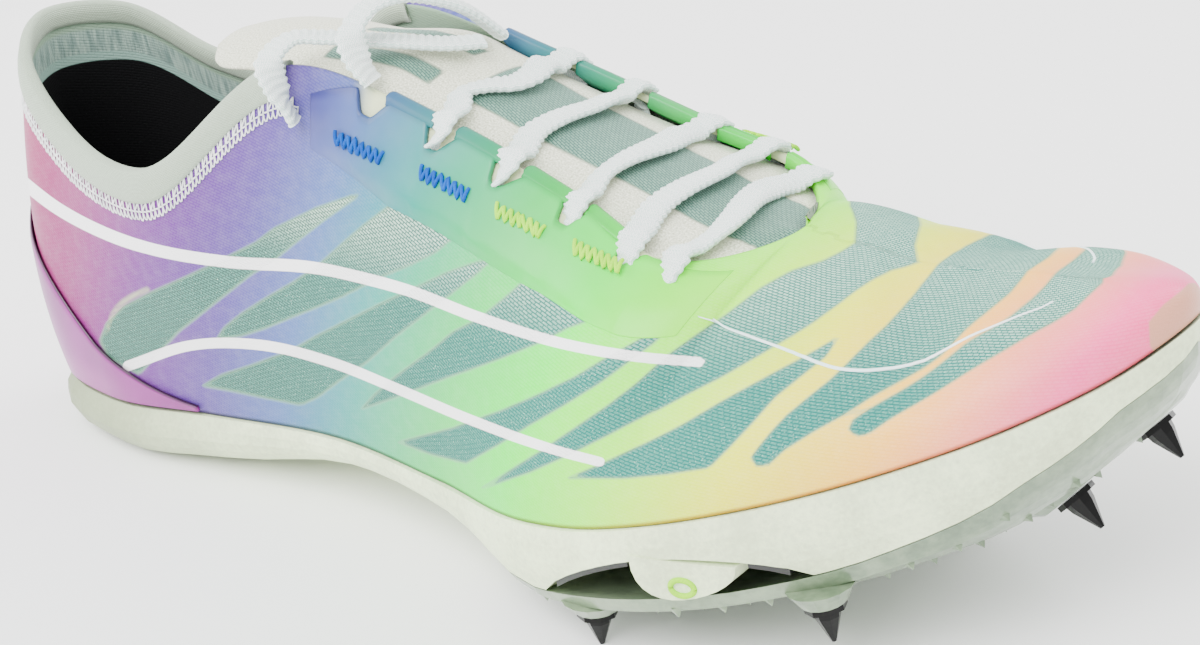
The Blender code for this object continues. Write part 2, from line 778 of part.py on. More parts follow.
# The film's lower edge, as a share of the wall's height at a section number.
EYESTAY_LOW = ((4.18, 0.78), (4.8, 0.70), (5.4, 0.69), (6.9, 0.67), (7.6, 0.62))
EYESTAY_DROP = 0.4 * MM


def eyestay_lines():
    """Section numbers along the film, with how far its edge is cut below the rim there."""
    lines = [EYESTAY_REAR]
    for notch, size in NOTCHES:
        lines += [(notch + share * size, cut) for share, cut in NOTCH_OUTLINE]
    return lines + list(EYESTAY_FRONT)


def make_eyestay(side, name, material):
    lines = eyestay_lines()
    numbers = np.array([number for number, _ in lines])
    cuts = np.array([cut for _, cut in lines])
    stations = np.array([float(side_station(number, side)) for number in numbers])
    low = np.interp(numbers, *zip(*EYESTAY_LOW))
    high = share_below_top(stations, EYESTAY_DROP + cuts * NOTCH_DEPTH)
    if side > 0:
        stations, low, high = stations[::-1], low[::-1], high[::-1]
    return make_overlay(name, stations, low, high, 4, EYESTAY_WALL, material)


COLLAR_REACH = STATION["collar"]


def make_collar_band(material):
    stations = np.arange(-COLLAR_REACH, COLLAR_REACH + 0.01, 0.25) % (2 * TIP)
    low = share_below_top(stations, COLLAR_WIDTH)
    high = share_below_top(stations, COLLAR_DROP)
    return make_overlay("collar_band", stations, low, high, 3, COLLAR_WALL, material)


# The heel wrap's upper edge, as a share of the wall's height at a section number.
WRAP_TOP = ((0, 0.61), (0.5, 0.56), (1, 0.46), (1.5, 0.35), (2, 0.22), (2.75, 0.06))
WRAP_REACH = 2.75
WRAP_LOW = 0.02


def make_heel_wrap(material):
    numbers = np.arange(-WRAP_REACH, WRAP_REACH + 0.01, 0.25)
    stations = numbers % (2 * TIP)
    high = np.interp(np.abs(numbers), *zip(*WRAP_TOP))
    low = np.full(len(numbers), WRAP_LOW)
    return make_overlay("heel_wrap", stations, low, high, 5, COUNTER_WALL, material)


def make_lace(name, route, material):
    """A flat lace along a route."""
    data = bpy.data.curves.new(name, "CURVE")
    data.dimensions = "3D"
    data.twist_mode = "Z_UP"
    spline = data.splines.new("POLY")
    spline.points.add(len(route) - 1)
    for point, place in zip(spline.points, route):
        point.co = (*place, 1)
    data.bevel_mode = "OBJECT"
    data.bevel_object = lace_profile()
    data.use_fill_caps = True
    data.materials.append(material)
    lace = bpy.data.objects.new(name, data)
    PARTS.objects.link(lace)
    return lace


def lace_profile():
    """The lace's flat oval, shared by every stretch of it."""
    if "lace_profile" in bpy.data.objects:
        return bpy.data.objects["lace_profile"]
    data = bpy.data.curves.new("lace_profile", "CURVE")
    spline = data.splines.new("POLY")
    spline.points.add(7)
    for number, point in enumerate(spline.points):
        turn = -math.tau * (number + 0.5) / 8
        point.co = (math.cos(turn) * LACE_WIDTH / 2, math.sin(turn) * LACE_THICK / 2, 0, 1)
    spline.use_cyclic_u = True
    return as_cutter(bpy.data.objects.new("lace_profile", data))


# The section number of each bar of the lace, and the shares of its way across the throat.
LACE_BARS = (5.0, 5.5, 6.0, 6.6, 7.15)
LACE_ENDS = 0.05
LACE_SHARES = (0.16, 0.28, 0.4, 0.5, 0.6, 0.72, 0.84)


def make_lace_bars(material):
    """The lace's bars: over the tongue, and up to the rim at each side."""
    for number, bar in enumerate(LACE_BARS, 1):
        drop = np.interp(bar, TONGUE_NUMBERS, TONGUE_DROPS)
        rim = throat_arch(bar, 0.0, 41)
        low = throat_arch(bar, drop, 101)
        first = round(LACE_ENDS * 40)
        middle = [low[round(share * 100)] for share in LACE_SHARES]
        route = np.array([rim[first], *middle, rim[-1 - first]])
        route[:, 2] += LACE_THICK / 2 + LACE_GAP
        make_lace(f"lace_bar_{number}", route, material)


# The loose top of the lace, by hand: its loop over the tongue from notch to notch, and
# its end, which comes out of the collar's hole and lies down on the tongue.
LOOP_ROUTE = (
    (76.0, -17.2, 99.4), (73.5, -17.6, 103.4), (71.0, -16.0, 108.5), (71.5, -11.5, 112.2),
    (74.0, -5.0, 113.0), (77.0, 2.0, 110.5), (79.5, 9.0, 106.0), (82.0, 15.8, 98.4),
)
END_ROUTE = (
    (59.0, -24.0, 91.0), (57.0, -25.2, 97.5), (54.5, -23.8, 103.6), (55.5, -18.0, 106.2),
    (60.5, -13.0, 105.4), (67.0, -9.5, 104.6), (74.0, -5.0, 103.4), (81.0, 1.0, 101.6),
    (85.0, 7.0, 100.4),
)


def lace_route(points):
    """A smooth route through points that were chosen by hand, in millimetres."""
    points = np.array(points) * MM
    curve = smooth_curve(points)
    return curve(np.linspace(0, len(points) - 1, 2 * len(points)))


for part in list(bpy.data.objects):
    bpy.data.objects.remove(part)
PARTS = bpy.data.collections.new("track_spike_shoe")
CUTTERS = bpy.data.collections.new("cutters")
for group in (PARTS, CUTTERS):
    bpy.context.scene.collection.children.link(group)

FILM = make_material("film", (0.62, 0.55, 0.75), 0.35)
MESH = make_material("mesh", (0.45, 0.60, 0.58), 0.8)
KNIT = make_material("knit", (0.85, 0.86, 0.83), 0.9)
WRAP = make_material("wrap", (0.60, 0.20, 0.50), 0.35)
FOAM = make_material("foam", (0.86, 0.86, 0.80), 0.55)
CLEAR = make_material("clear_plate", (0.72, 0.76, 0.70), 0.3)
CARBON = make_material("carbon", (0.03, 0.03, 0.035), 0.35)
STEEL = make_material("steel", (0.10, 0.10, 0.11), 0.3, 0.9)
LINING = make_material("lining", (0.02, 0.02, 0.02), 0.9)
LACE = make_material("lace", (0.88, 0.90, 0.88), 0.9)

make_upper(MESH)
make_collar_band(KNIT)
make_heel_wrap(WRAP)
make_eyestay(-1, "eyestay_outer", FILM)
make_eyestay(1, "eyestay_inner", FILM)
make_tongue(KNIT)
make_insole(LINING)
make_midsole(FOAM)
make_carbon_plate(CARBON)
make_plate(CLEAR)
for pin_name in PINS:
    make_pin(pin_name, STEEL)
make_lace_bars(LACE)
make_lace("lace_loop", lace_route(LOOP_ROUTE), LACE)
make_lace("lace_end", lace_route(END_ROUTE), LACE)
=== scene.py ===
"""Looks for the track spike shoe: the film and mesh upper, its stitching, tongue and flat
braided laces, and the finishes of the sole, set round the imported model."""

import math

import bmesh
import bpy
import numpy as np
from mathutils import Matrix, Vector
from mathutils.bvhtree import BVHTree


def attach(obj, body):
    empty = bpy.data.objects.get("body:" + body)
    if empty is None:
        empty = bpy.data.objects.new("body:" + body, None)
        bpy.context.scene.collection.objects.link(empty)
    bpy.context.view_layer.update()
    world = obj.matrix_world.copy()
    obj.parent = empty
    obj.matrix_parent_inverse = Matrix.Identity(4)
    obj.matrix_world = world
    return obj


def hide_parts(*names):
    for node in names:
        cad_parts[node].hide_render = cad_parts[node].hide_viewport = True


MM = 0.001
UPWARD = np.array([0.0, 0.0, 1.0])
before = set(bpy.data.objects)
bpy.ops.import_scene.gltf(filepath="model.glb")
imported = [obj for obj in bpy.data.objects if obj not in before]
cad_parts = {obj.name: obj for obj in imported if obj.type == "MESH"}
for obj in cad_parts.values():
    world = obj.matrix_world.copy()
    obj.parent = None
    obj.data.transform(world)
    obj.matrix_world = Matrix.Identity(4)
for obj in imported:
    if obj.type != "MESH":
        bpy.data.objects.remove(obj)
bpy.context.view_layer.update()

# The camera: the photograph's frame in pixels and its place round the shoe.
PHOTO_WIDTH = 1200
PHOTO_HEIGHT = 645
FOCAL_PIXELS = 3049
SENSOR_WIDTH = 36
CAMERA_PLACE = np.array([0.481938, -0.423702, 0.313055])
CAMERA_RIGHT = np.array([0.78459344, 0.60806603, -0.12111493])
CAMERA_UP = np.array([-0.179155, 0.40935489, 0.8946128])
CAMERA_BACK = np.array([0.59356264, -0.68020899, 0.43011524])
PIXEL = 0.2043 * MM  # what one pixel of the photograph spans at the shoe's side


def make_camera():
    data = bpy.data.cameras.new("camera")
    data.sensor_width = SENSOR_WIDTH
    data.lens = FOCAL_PIXELS / PHOTO_WIDTH * SENSOR_WIDTH
    data.clip_start = 0.05
    data.clip_end = 20
    camera = bpy.data.objects.new("camera", data)
    bpy.context.scene.collection.objects.link(camera)
    turn = Matrix([list(CAMERA_RIGHT), list(CAMERA_UP), list(CAMERA_BACK)]).transposed()
    camera.matrix_world = Matrix.Translation(Vector(CAMERA_PLACE)) @ turn.to_4x4()
    bpy.context.scene.camera = camera


def photo_pixel(points):
    """Where points of the shoe fall in the photograph."""
    offset = points - CAMERA_PLACE
    depth = -(offset @ CAMERA_BACK)
    across = PHOTO_WIDTH / 2 + FOCAL_PIXELS * (offset @ CAMERA_RIGHT) / depth
    down = PHOTO_HEIGHT / 2 - FOCAL_PIXELS * (offset @ CAMERA_UP) / depth
    return np.stack([across, down], axis=-1)


make_camera()

# The last, repeated from the part's source.
LENGTH = 282 * MM
BALL_WIDTH = 92 * MM
INSTEP_HEIGHT = 84 * MM
HEEL_STACK = 12 * MM
TOE_LIFT = 53.5 * MM
HEEL_TO_ORIGIN = 40.5 * MM
UPPER_WALL = 1.4 * MM
FILM_GAP = 0.4 * MM
TONGUE_WALL = 2 * MM
TONGUE_CROWN = 3 * MM
TONGUE_SWELL = 0.6
TONGUE_CROWN_END = 8.3
TONGUE_CROWN_FADE = 1.5
TONGUE_CLEAR = 0.9 * MM
INSOLE_WALL = 3 * MM
INSOLE_INSET = 3.2 * MM
LACE_WIDTH = 5 * MM
LACE_THICK = 1.8 * MM
LACE_GAP = 0.5 * MM
NOTCH_DEPTH = 5 * MM
EYESTAY_WALL = 0.9 * MM
COUNTER_WALL = 0.8 * MM
GAP = 0.3 * MM

LAST_COLUMNS = (
    "along", "outer", "inner", "seat", "top_along", "top_outer", "top_inner", "top_rise",
    "low_out", "low_up", "top_out", "top_down",
)
LAST = {
    "back":   (0.000, 0.000, 0.000, 0.00, -0.006, 0.000, 0.000, 0.964, 0.076, 0.345, 0.010, 0.298),
    "corner": (0.023, 0.200, 0.190, 0.01, 0.023, 0.158, 0.180, 0.924, 0.065, 0.333, 0.045, 0.262),
    "heel":   (0.102, 0.293, 0.293, 0.03, 0.096, 0.261, 0.272, 0.768, 0.040, 0.250, 0.035, 0.202),
    "ankle":  (0.212, 0.302, 0.310, 0.09, 0.199, 0.337, 0.299, 0.695, 0.036, 0.220, 0.022, 0.185),
    "collar": (0.353, 0.304, 0.250, 0.15, 0.337, 0.212, 0.211, 0.963, 0.045, 0.357, 0.059, 0.294),
    "waist":  (0.482, 0.391, 0.261, 0.19, 0.470, 0.185, 0.230, 0.845, 0.045, 0.313, 0.135, 0.171),
    "joint":  (0.597, 0.516, 0.348, 0.28, 0.599, 0.202, 0.260, 0.650, 0.034, 0.270, 0.182, 0.090),
    "throat": (0.647, 0.530, 0.397, 0.33, 0.674, 0.239, 0.262, 0.550, 0.028, 0.262, 0.200, 0.036),
    "ball":   (0.691, 0.524, 0.440, 0.39, 0.727, -0.033, 0.033, 0.500, 0.023, 0.255, 0.283, -0.010),
    "tread":  (0.780, 0.452, 0.491, 0.52, 0.780, -0.054, 0.054, 0.380, 0.022, 0.212, 0.277, -0.006),
    "toes":   (0.860, 0.343, 0.465, 0.66, 0.840, -0.073, 0.073, 0.274, 0.020, 0.152, 0.228, 0.018),
    "cap":    (0.935, 0.200, 0.395, 0.82, 0.892, -0.089, 0.089, 0.191, 0.020, 0.154, 0.180, 0.012),
    "front":  (0.974, 0.045, 0.300, 0.91, 0.923, -0.098, 0.098, 0.132, 0.018, 0.121, 0.138, 0.006),
    "tip":    (0.996, -0.140, 0.140, 0.99, 0.937, -0.104, 0.104, 0.086, 0.018, 0.111, 0.127, 0.004),
}
STATION = {name: number for number, name in enumerate(LAST)}
TIP = STATION["tip"]
BALL = STATION["ball"]


def smooth_curve(points, closed=False):
    """A curve through the points, as a function of a point's number. The first three
    columns are the place, and they set how far apart two points count."""
    points = np.asarray(points, float)
    count = len(points)
    if closed:
        ring = np.vstack([points[-1:], points, points[:2]])
    else:
        ring = np.vstack([2 * points[:1] - points[1:2], points, 2 * points[-1:] - points[-2:-1]])
    span = np.linalg.norm(np.diff(ring[:, :3], axis=0), axis=1)[:, None]

    def at(number):
        number = np.atleast_1d(np.asarray(number, float))
        number = number % count if closed else number
        last = count - 1 if closed else count - 2
        first = np.clip(np.floor(number).astype(int), 0, last)
        share = (number - first)[:, None]
        before, here, after, beyond = (ring[first + step] for step in range(4))
        back, mid, ahead = (span[first + step] for step in range(3))
        leave = ((here - before) / back * mid + (after - here) / mid * back) / (back + mid)
        arrive = ((after - here) / mid * ahead + (beyond - after) / ahead * mid) / (mid + ahead)
        square, cube = share**2, share**3
        return (
            (2 * cube - 3 * square + 1) * here
            + (cube - 2 * square + share) * mid * leave
            + (3 * square - 2 * cube) * after
            + (cube - square) * mid * arrive
        )

    return at


def last_row(name):
    return dict(zip(LAST_COLUMNS, LAST[name]))


def seat_height(seat):
    return HEEL_STACK + seat * TOE_LIFT


def foot_point(name, side):
    """The upper's bottom edge at a section, on the outer (-1) or inner (+1) side, and the
    four sizes that shape its wall there."""
    row = last_row(name)
    across = row["inner"] if side > 0 else -row["outer"]
    return (
        row["along"] * LENGTH - HEEL_TO_ORIGIN,
        across * BALL_WIDTH,
        seat_height(row["seat"]),
        row["low_out"] * BALL_WIDTH,
        row["low_up"] * INSTEP_HEIGHT,
        row["top_out"] * BALL_WIDTH,
        row["top_down"] * INSTEP_HEIGHT,
    )


def top_point(name, side):
    """The collar, throat or ridge over a section."""
    row = last_row(name)
    across = row["top_inner"] if side > 0 else -row["top_outer"]
    height = seat_height(row["seat"]) + row["top_rise"] * INSTEP_HEIGHT
    return row["top_along"] * LENGTH - HEEL_TO_ORIGIN, across * BALL_WIDTH, height


NAMES = list(LAST)
FOOT = smooth_curve(
    [foot_point(name, -1) for name in NAMES]
    + [foot_point(name, 1) for name in NAMES[TIP - 1 : 0 : -1]],
    closed=True,
)
RIM = smooth_curve(
    [top_point(name, -1) for name in NAMES[BALL::-1]]
    + [top_point(name, 1) for name in NAMES[1:BALL]],
    closed=True,
)
RIDGE = smooth_curve([top_point(name, 1) for name in NAMES[BALL:]])


def turn_outward(station):
    """The level direction that points out of the shoe, square to its outline."""
    step = 0.02
    run = FOOT(station + step)[:, :3] - FOOT(station - step)[:, :3]
    out = np.stack([run[:, 1], -run[:, 0], np.zeros(len(run))], axis=1)
    return out / np.linalg.norm(out, axis=1)[:, None]


def fold(station):
    """A station's number counted from the heel on its own side, and +1 on the inner side."""
    station = np.asarray(station, float) % (2 * TIP)
    inner = station > TIP
    return np.where(inner, 2 * TIP - station, station), np.where(inner, 1, -1)


def top_line(station):
    """The top of the wall at each station, and how steeply the ridge climbs there."""
    number, side = fold(station)
    on_ridge = number > BALL
    rim = RIM(BALL + side * np.minimum(number, BALL))
    ridge_number = np.maximum(number - BALL, 0)
    ridge = RIDGE(ridge_number)
    step = 0.05
    run = RIDGE(ridge_number + step) - RIDGE(np.maximum(ridge_number - step, 0))
    climb = run[:, 2] / run[:, 0]
    climb = climb * np.clip(number - BALL + 1, 0, 1)
    return np.where(on_ridge[:, None], ridge, rim), climb


def skin(station, share, lift=0.0):
    """Points of the upper's outer face. station runs round the shoe, outer side first, and
    share runs up the wall from 0 to 1. lift is a distance out from that face."""
    station, share = np.broadcast_arrays(np.asarray(station, float), np.asarray(share, float))
    shape = station.shape
    station, share = station.ravel(), share.ravel()
    points = wall(station, share)
    if np.any(lift):
        step = 0.03
        inside = np.clip(share, step, 0.96 - step)
        along = wall(station + step, inside) - wall(station - step, inside)
        up = wall(station, inside + step) - wall(station, inside - step)
        normal = np.cross(along, up)
        normal /= np.linalg.norm(normal, axis=1)[:, None]
        points = points + normal * np.broadcast_to(lift, shape).ravel()[:, None]
    return points.reshape(*shape, 3)


def wall(station, share):
    foot = FOOT(station)
    top, climb = top_line(station)
    out = turn_outward(station)
    low = foot[:, :3] + out * foot[:, 3:4] + UPWARD * foot[:, 4:5]
    lean = climb * out[:, 0] * foot[:, 5]
    high = top + out * foot[:, 5:6] + UPWARD * (lean - foot[:, 6])[:, None]
    share = share[:, None]
    rest = 1 - share
    return (
        rest**3 * foot[:, :3]
        + 3 * rest**2 * share * low
        + 3 * rest * share**2 * high
        + share**3 * top
    )


def share_below_top(station, distance):
    """The share of the wall's height that lies this far below its top, along the wall."""
    station = np.asarray(station, float)
    distance = np.broadcast_to(distance, station.shape)
    samples = np.linspace(0, 1, 33)
    lines = skin(station[:, None], samples[None, :])
    steps = np.linalg.norm(np.diff(lines, axis=1), axis=2)
    length = np.concatenate([np.zeros((len(station), 1)), np.cumsum(steps, axis=1)], axis=1)
    return np.array(
        [np.interp(row[-1] - far, row, samples) for row, far in zip(length, distance)]
    )


def side_station(number, side):
    """The station of a section's number on the outer (-1) or inner (+1) side."""
    number = np.asarray(number, float)
    return number if side < 0 else (2 * TIP - number) % (2 * TIP)


def rim_skin(stations, below, lift):
    """A line on the upper, at distances below its rim and out from it, in millimetres."""
    return skin(stations, share_below_top(stations, below * MM), lift * MM)


def rim_line(stations, outward, up):
    """A line beside the rim, at distances out from it and up from it, in millimetres."""
    rim = skin(stations, np.ones(len(stations)))
    return rim + (turn_outward(stations) * outward + UPWARD * up) * MM


def run_lengths(points):
    """How far along a line each of its points lies."""
    steps = np.linalg.norm(np.diff(points, axis=0), axis=1)
    return np.concatenate([[0], np.cumsum(steps)])


def even_steps(points, count):
    points = np.asarray(points)
    far = run_lengths(points)
    wanted = np.linspace(0, far[-1], count)
    return np.stack([np.interp(wanted, far, points[:, axis]) for axis in range(3)], axis=1)


def throat_arch(number, drop, count=17):
    """The tongue's arch over the throat, which leaves the walls at a drop below the rim."""
    ends = []
    for side in (-1, 1):
        station = np.array([side_station(number, side)], float)
        share = share_below_top(station, drop)
        ends.append(skin(station, share, -UPPER_WALL - TONGUE_CLEAR)[0])
    crown = TONGUE_CROWN + drop * TONGUE_SWELL
    crown *= np.clip((TONGUE_CROWN_END - number) / TONGUE_CROWN_FADE, 0, 1)
    across = np.linspace(0, 1, count)[:, None]
    arch = ends[0] + (ends[1] - ends[0]) * across
    arch[:, 2] += crown * (1 - (2 * across[:, 0] - 1) ** 2)
    return arch


def soften(line, weights):
    """A line of values averaged with their neighbours by weights, whose count is odd."""
    padded = np.pad(line, len(weights) // 2, "edge")
    return np.convolve(padded, weights / weights.sum(), "valid")


def smooth_step(value, low, high):
    share = np.clip((value - low) / (high - low), 0, 1)
    return share * share * (3 - 2 * share)


# Meshes made from grids of points, with values for the shader kept at each point.
def give(mesh, name, values):
    values = np.asarray(values, np.float32)
    kind = "FLOAT_VECTOR" if values.ndim > 1 else "FLOAT"
    layer = mesh.attributes.new(name, kind, "POINT")
    layer.data.foreach_set("vector" if values.ndim > 1 else "value", values.ravel())


def make_piece(name, points, faces, materials, values=None, slots=None, smooth=True):
    mesh = bpy.data.meshes.new(name)
    mesh.from_pydata(points.tolist(), [], faces)
    for material in materials:
        mesh.materials.append(material)
    if slots is not None:
        mesh.polygons.foreach_set("material_index", np.asarray(slots, np.int32))
    for key, value in (values or {}).items():
        give(mesh, key, value)
    if smooth:
        mesh.shade_smooth()
    mesh.update()
    piece = bpy.data.objects.new(name, mesh)
    bpy.context.scene.collection.objects.link(piece)
    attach(piece, "root")
    return piece


def surface_of(piece):
    """A piece's surface, for finding the places on it that rays and points reach."""
    points = [piece.matrix_world @ vertex.co for vertex in piece.data.vertices]
    return BVHTree.FromPolygons(points, [tuple(face.vertices) for face in piece.data.polygons])


def grid_faces(rows, columns, start=0, loop_rows=False, loop_columns=False, turned=False):
    row = np.arange(rows if loop_rows else rows - 1)
    column = np.arange(columns if loop_columns else columns - 1)
    first, second = np.meshgrid(row, column, indexing="ij")
    next_row = (first + 1) % rows
    next_column = (second + 1) % columns
    corners = [
        first * columns + second,
        next_row * columns + second,
        next_row * columns + next_column,
        first * columns + next_column,
    ]
    faces = np.stack(corners, axis=-1).reshape(-1, 4) + start
    return faces[:, ::-1] if turned else faces


def tube_faces(rows, columns, start=0, turned=False):
    """The faces round a tube made of rings, and those over its two ends."""
    faces = grid_faces(rows, columns, start, loop_columns=True, turned=turned).tolist()
    first = list(range(start, start + columns))
    last = list(range(start + (rows - 1) * columns, start + rows * columns))
    return faces + ([first, last[::-1]] if turned else [first[::-1], last])


def sheet_piece(name, outer, inner, materials, values=None, loop_rows=False, joined=None):
    """A closed wall between two grids of points. Its second material is on the inner face.
    Where joined is true for a row, its last point is shared with the row across from it."""
    rows, columns = outer.shape[:2]
    count = rows * columns
    faces = [grid_faces(rows, columns, 0, loop_rows)]
    faces.append(grid_faces(rows, columns, count, loop_rows, turned=True))
    slots = [np.zeros(len(faces[0])), np.full(len(faces[1]), len(materials) - 1)]
    index = np.arange(count).reshape(rows, columns)
    for line, turned in ((index[:, 0], False), (index[:, -1], True)):
        after = np.roll(line, -1)
        if not loop_rows:
            line, after = line[:-1], after[:-1]
        rim = np.stack([line, line + count, after + count, after], axis=1)
        if turned and joined is not None:
            rim = rim[~(joined & np.roll(joined, -1))]
        faces.append(rim[:, ::-1] if turned else rim)
    if not loop_rows:
        for line, turned in ((index[0], True), (index[-1], False)):
            rim = np.stack([line[:-1], line[:-1] + count, line[1:] + count, line[1:]], axis=1)
            faces.append(rim[:, ::-1] if turned else rim)
    slots += [np.zeros(len(rim)) for rim in faces[2:]]
    points = np.vstack([outer.reshape(-1, 3), inner.reshape(-1, 3)])
    doubled = {}
    for key, value in (values or {}).items():
        value = np.asarray(value, float)
        flat = value.reshape(count, -1) if value.ndim == 3 else value.reshape(count)
        doubled[key] = np.concatenate([flat, flat])
    faces = np.vstack(faces).tolist()
    piece = make_piece(name, points, faces, materials, doubled, np.concatenate(slots))
    if joined is not None:
        weld(piece.data, joined, columns, count)
    return piece


def weld(data, joined, columns, count):
    """Merges the points that two rows share at the end of their grids."""
    mesh = bmesh.new()
    mesh.from_mesh(data)
    mesh.verts.ensure_lookup_table()
    ends = np.flatnonzero(joined) * columns + columns - 1
    shared = [mesh.verts[index] for index in np.concatenate([ends, ends + count])]
    bmesh.ops.remove_doubles(mesh, verts=shared, dist=0.01 * MM)
    mesh.to_mesh(data)
    mesh.free()


def tube_points(path, radius, sides=6, flat=1.0):
    """Rings round a path, which may be a number or one radius for each of its points."""
    path = np.asarray(path)
    run = np.gradient(path, axis=0)
    run /= np.linalg.norm(run, axis=1)[:, None]
    side = np.cross(run, UPWARD)
    weak = np.linalg.norm(side, axis=1) < 0.05
    side[weak] = np.cross(run[weak], [0.0, 1.0, 0.0])
    side /= np.linalg.norm(side, axis=1)[:, None]
    up = np.cross(side, run)
    radius = np.broadcast_to(radius, len(path))[:, None, None]
    turn = np.arange(sides) / sides * math.tau
    ring = side[:, None] * np.cos(turn)[:, None] + up[:, None] * np.sin(turn)[:, None] * flat
    return path[:, None] + ring * radius


def many_tubes(name, paths, radius, material, sides=6, flat=1.0):
    """One piece of many threads, each a closed tube round its own path."""
    points, faces, start = [], [], 0
    for path in paths:
        rings = tube_points(path, radius, sides, flat)
        points.append(rings.reshape(-1, 3))
        faces += tube_faces(len(rings), sides, start, turned=True)
        start += len(rings) * sides
    return make_piece(name, np.vstack(points), faces, [material])


# Materials. The view darkens and greys bright colours along this curve, from -12.5 to +4
# stops round middle grey, so a paint is worked back from the colour that it should show.
STUDIO_LIGHT = 2.75
STUDIO_GLARE = 0.24
VIEW_STOPS = (-12.47393, 4.026069)
VIEW_CURVE = (15.5, -40.14, 31.96, -6.868, 0.4298, 0.1191, -0.00232)
VIEW_MIX = np.array([
    [0.842479, 0.078434, 0.079224], [0.042328, 0.878469, 0.079166], [0.042376, 0.078434, 0.879143],
])


def seen(red, green, blue):
    """The paint that shows as these 0 to 255 values on a screen in the studio's light."""
    shown = VIEW_MIX @ (np.array([red, green, blue]) / 255)
    stops = np.linspace(0, 1, 400)
    light = np.interp(shown, np.polyval(VIEW_CURVE, stops), stops)
    light = 2 ** (VIEW_STOPS[0] + light * (VIEW_STOPS[1] - VIEW_STOPS[0]))
    paint = (np.linalg.inv(VIEW_MIX) @ light - STUDIO_GLARE) / STUDIO_LIGHT
    return tuple(float(channel) for channel in np.clip(paint, 0.002, 0.93))


class Look:
    """A material, with short calls for the nodes that it is made from."""

    def __init__(self, name, **sockets):
        self.material = bpy.data.materials.new(name)
        self.material.use_nodes = True
        self.tree = self.material.node_tree
        self.shader = self.tree.nodes["Principled BSDF"]
        self.set(**sockets)

    def plug(self, node, socket, value):
        target = node.inputs[socket]
        if isinstance(value, bpy.types.NodeSocket):
            self.tree.links.new(value, target)
        elif isinstance(value, tuple) and len(value) == 3 and target.type == "RGBA":
            target.default_value = (*value, 1)
        else:
            target.default_value = value

    def node(self, kind, settings=None, **sockets):
        node = self.tree.nodes.new("ShaderNode" + kind)
        for key, value in (settings or {}).items():
            setattr(node, key, value)
        for socket, value in sockets.items():
            self.plug(node, socket.replace("_", " "), value)
        return node

    def read(self, name, vector=False):
        node = self.node("Attribute", {"attribute_name": name})
        return node.outputs["Vector" if vector else "Fac"]

    def place(self):
        return self.node("TexCoord").outputs["Object"]

    def math(self, operation, first, second=0.0, third=0.0):
        node = self.node("Math", {"operation": operation})
        for number, value in enumerate((first, second, third)):
            self.plug(node, number, value)
        return node.outputs[0]

    def step(self, value, low, high, start=0.0, end=1.0):
        node = self.node("MapRange", {"interpolation_type": "SMOOTHSTEP"})
        for socket, number in zip(("Value", "From Min", "From Max", "To Min", "To Max"),
                                  (value, low, high, start, end)):
            self.plug(node, socket, number)
        return node.outputs["Result"]

    def mix(self, share, first, second):
        node = self.node("Mix", {"data_type": "RGBA"}, Factor=share)
        self.plug(node, 6, first)
        self.plug(node, 7, second)
        return node.outputs[2]

    def ramp(self, share, stops):
        node = self.node("ValToRGB")
        band = node.color_ramp
        while len(band.elements) < len(stops):
            band.elements.new(0.5)
        for element, (place, colour) in zip(band.elements, stops):
            element.position = place
            element.color = (*colour, 1)
        self.plug(node, "Fac", share)
        return node.outputs["Color"]

    def noise(self, vector, scale, detail=3.0, roughness=0.55):
        node = self.node("TexNoise", Vector=vector, Scale=scale, Detail=detail, Roughness=roughness)
        return node.outputs["Fac"]

    def shifted(self, vector, turn=0.0, scale=(1, 1, 1)):
        return self.node("Mapping", Vector=vector, Rotation=(0, 0, turn), Scale=scale).outputs[0]

    def bump(self, height, distance, strength=1.0, normal=None):
        node = self.node("Bump", Height=height, Strength=strength, Distance=distance)
        if normal is not None:
            self.plug(node, "Normal", normal)
        return node.outputs[0]

    def over(self, colour, cover, value, low, high, start=0.0, end=1.0):
        """A colour that gives way to another where a value rises from low to high."""
        return self.mix(self.step(value, low, high, start, end), colour, cover)

    def set(self, **sockets):
        for socket, value in sockets.items():
            self.plug(self.shader, socket.replace("_", " "), value)


# The film's colour along the shoe: millimetres forward of the origin, less a share of the
# height, so that the bands of colour lean back as they rise.
TINT_LEAN = 0.45
TINT_LEVEL = 50 * MM
TINT_START = -45
TINT_END = 240
TINTS = (
    (-45, (210, 104, 176)), (-15, (200, 124, 182)), (10, (182, 146, 194)), (34, (170, 158, 200)),
    (55, (165, 180, 208)), (78, (122, 204, 196)), (104, (124, 224, 174)), (130, (160, 238, 142)),
    (152, (208, 246, 124)), (176, (232, 233, 124)), (200, (246, 218, 178)), (224, (245, 180, 204)),
    (237, (233, 172, 196)),
)


def tint(points):
    forward = points[..., 0] - TINT_LEAN * (points[..., 2] - TINT_LEVEL)
    return np.clip((forward / MM - TINT_START) / (TINT_END - TINT_START), 0, 1)


def tint_ramp(look, share):
    stops = [((place - TINT_START) / (TINT_END - TINT_START), seen(*colour)) for place, colour in TINTS]
    return look.ramp(share, stops)


def thread_pattern(look, turn, size):
    """Staggered short threads of a knitted mesh, in millimetres of cloth."""
    cloth = look.shifted(look.read("cloth", vector=True), turn)
    bend = look.noise(cloth, 0.35, 2)
    brick = look.node(
        "TexBrick", {"offset": 0.5, "squash": 1.0}, Vector=cloth, Scale=size,
        Color1=(1, 1, 1), Color2=(0.72, 0.72, 0.72), Mortar=(0, 0, 0),
        Mortar_Size=0.16, Mortar_Smooth=0.7, Brick_Width=1.5, Row_Height=0.62,
    )
    threads = look.node("RGBToBW")
    look.plug(threads, 0, brick.outputs["Color"])
    return threads.outputs[0], bend


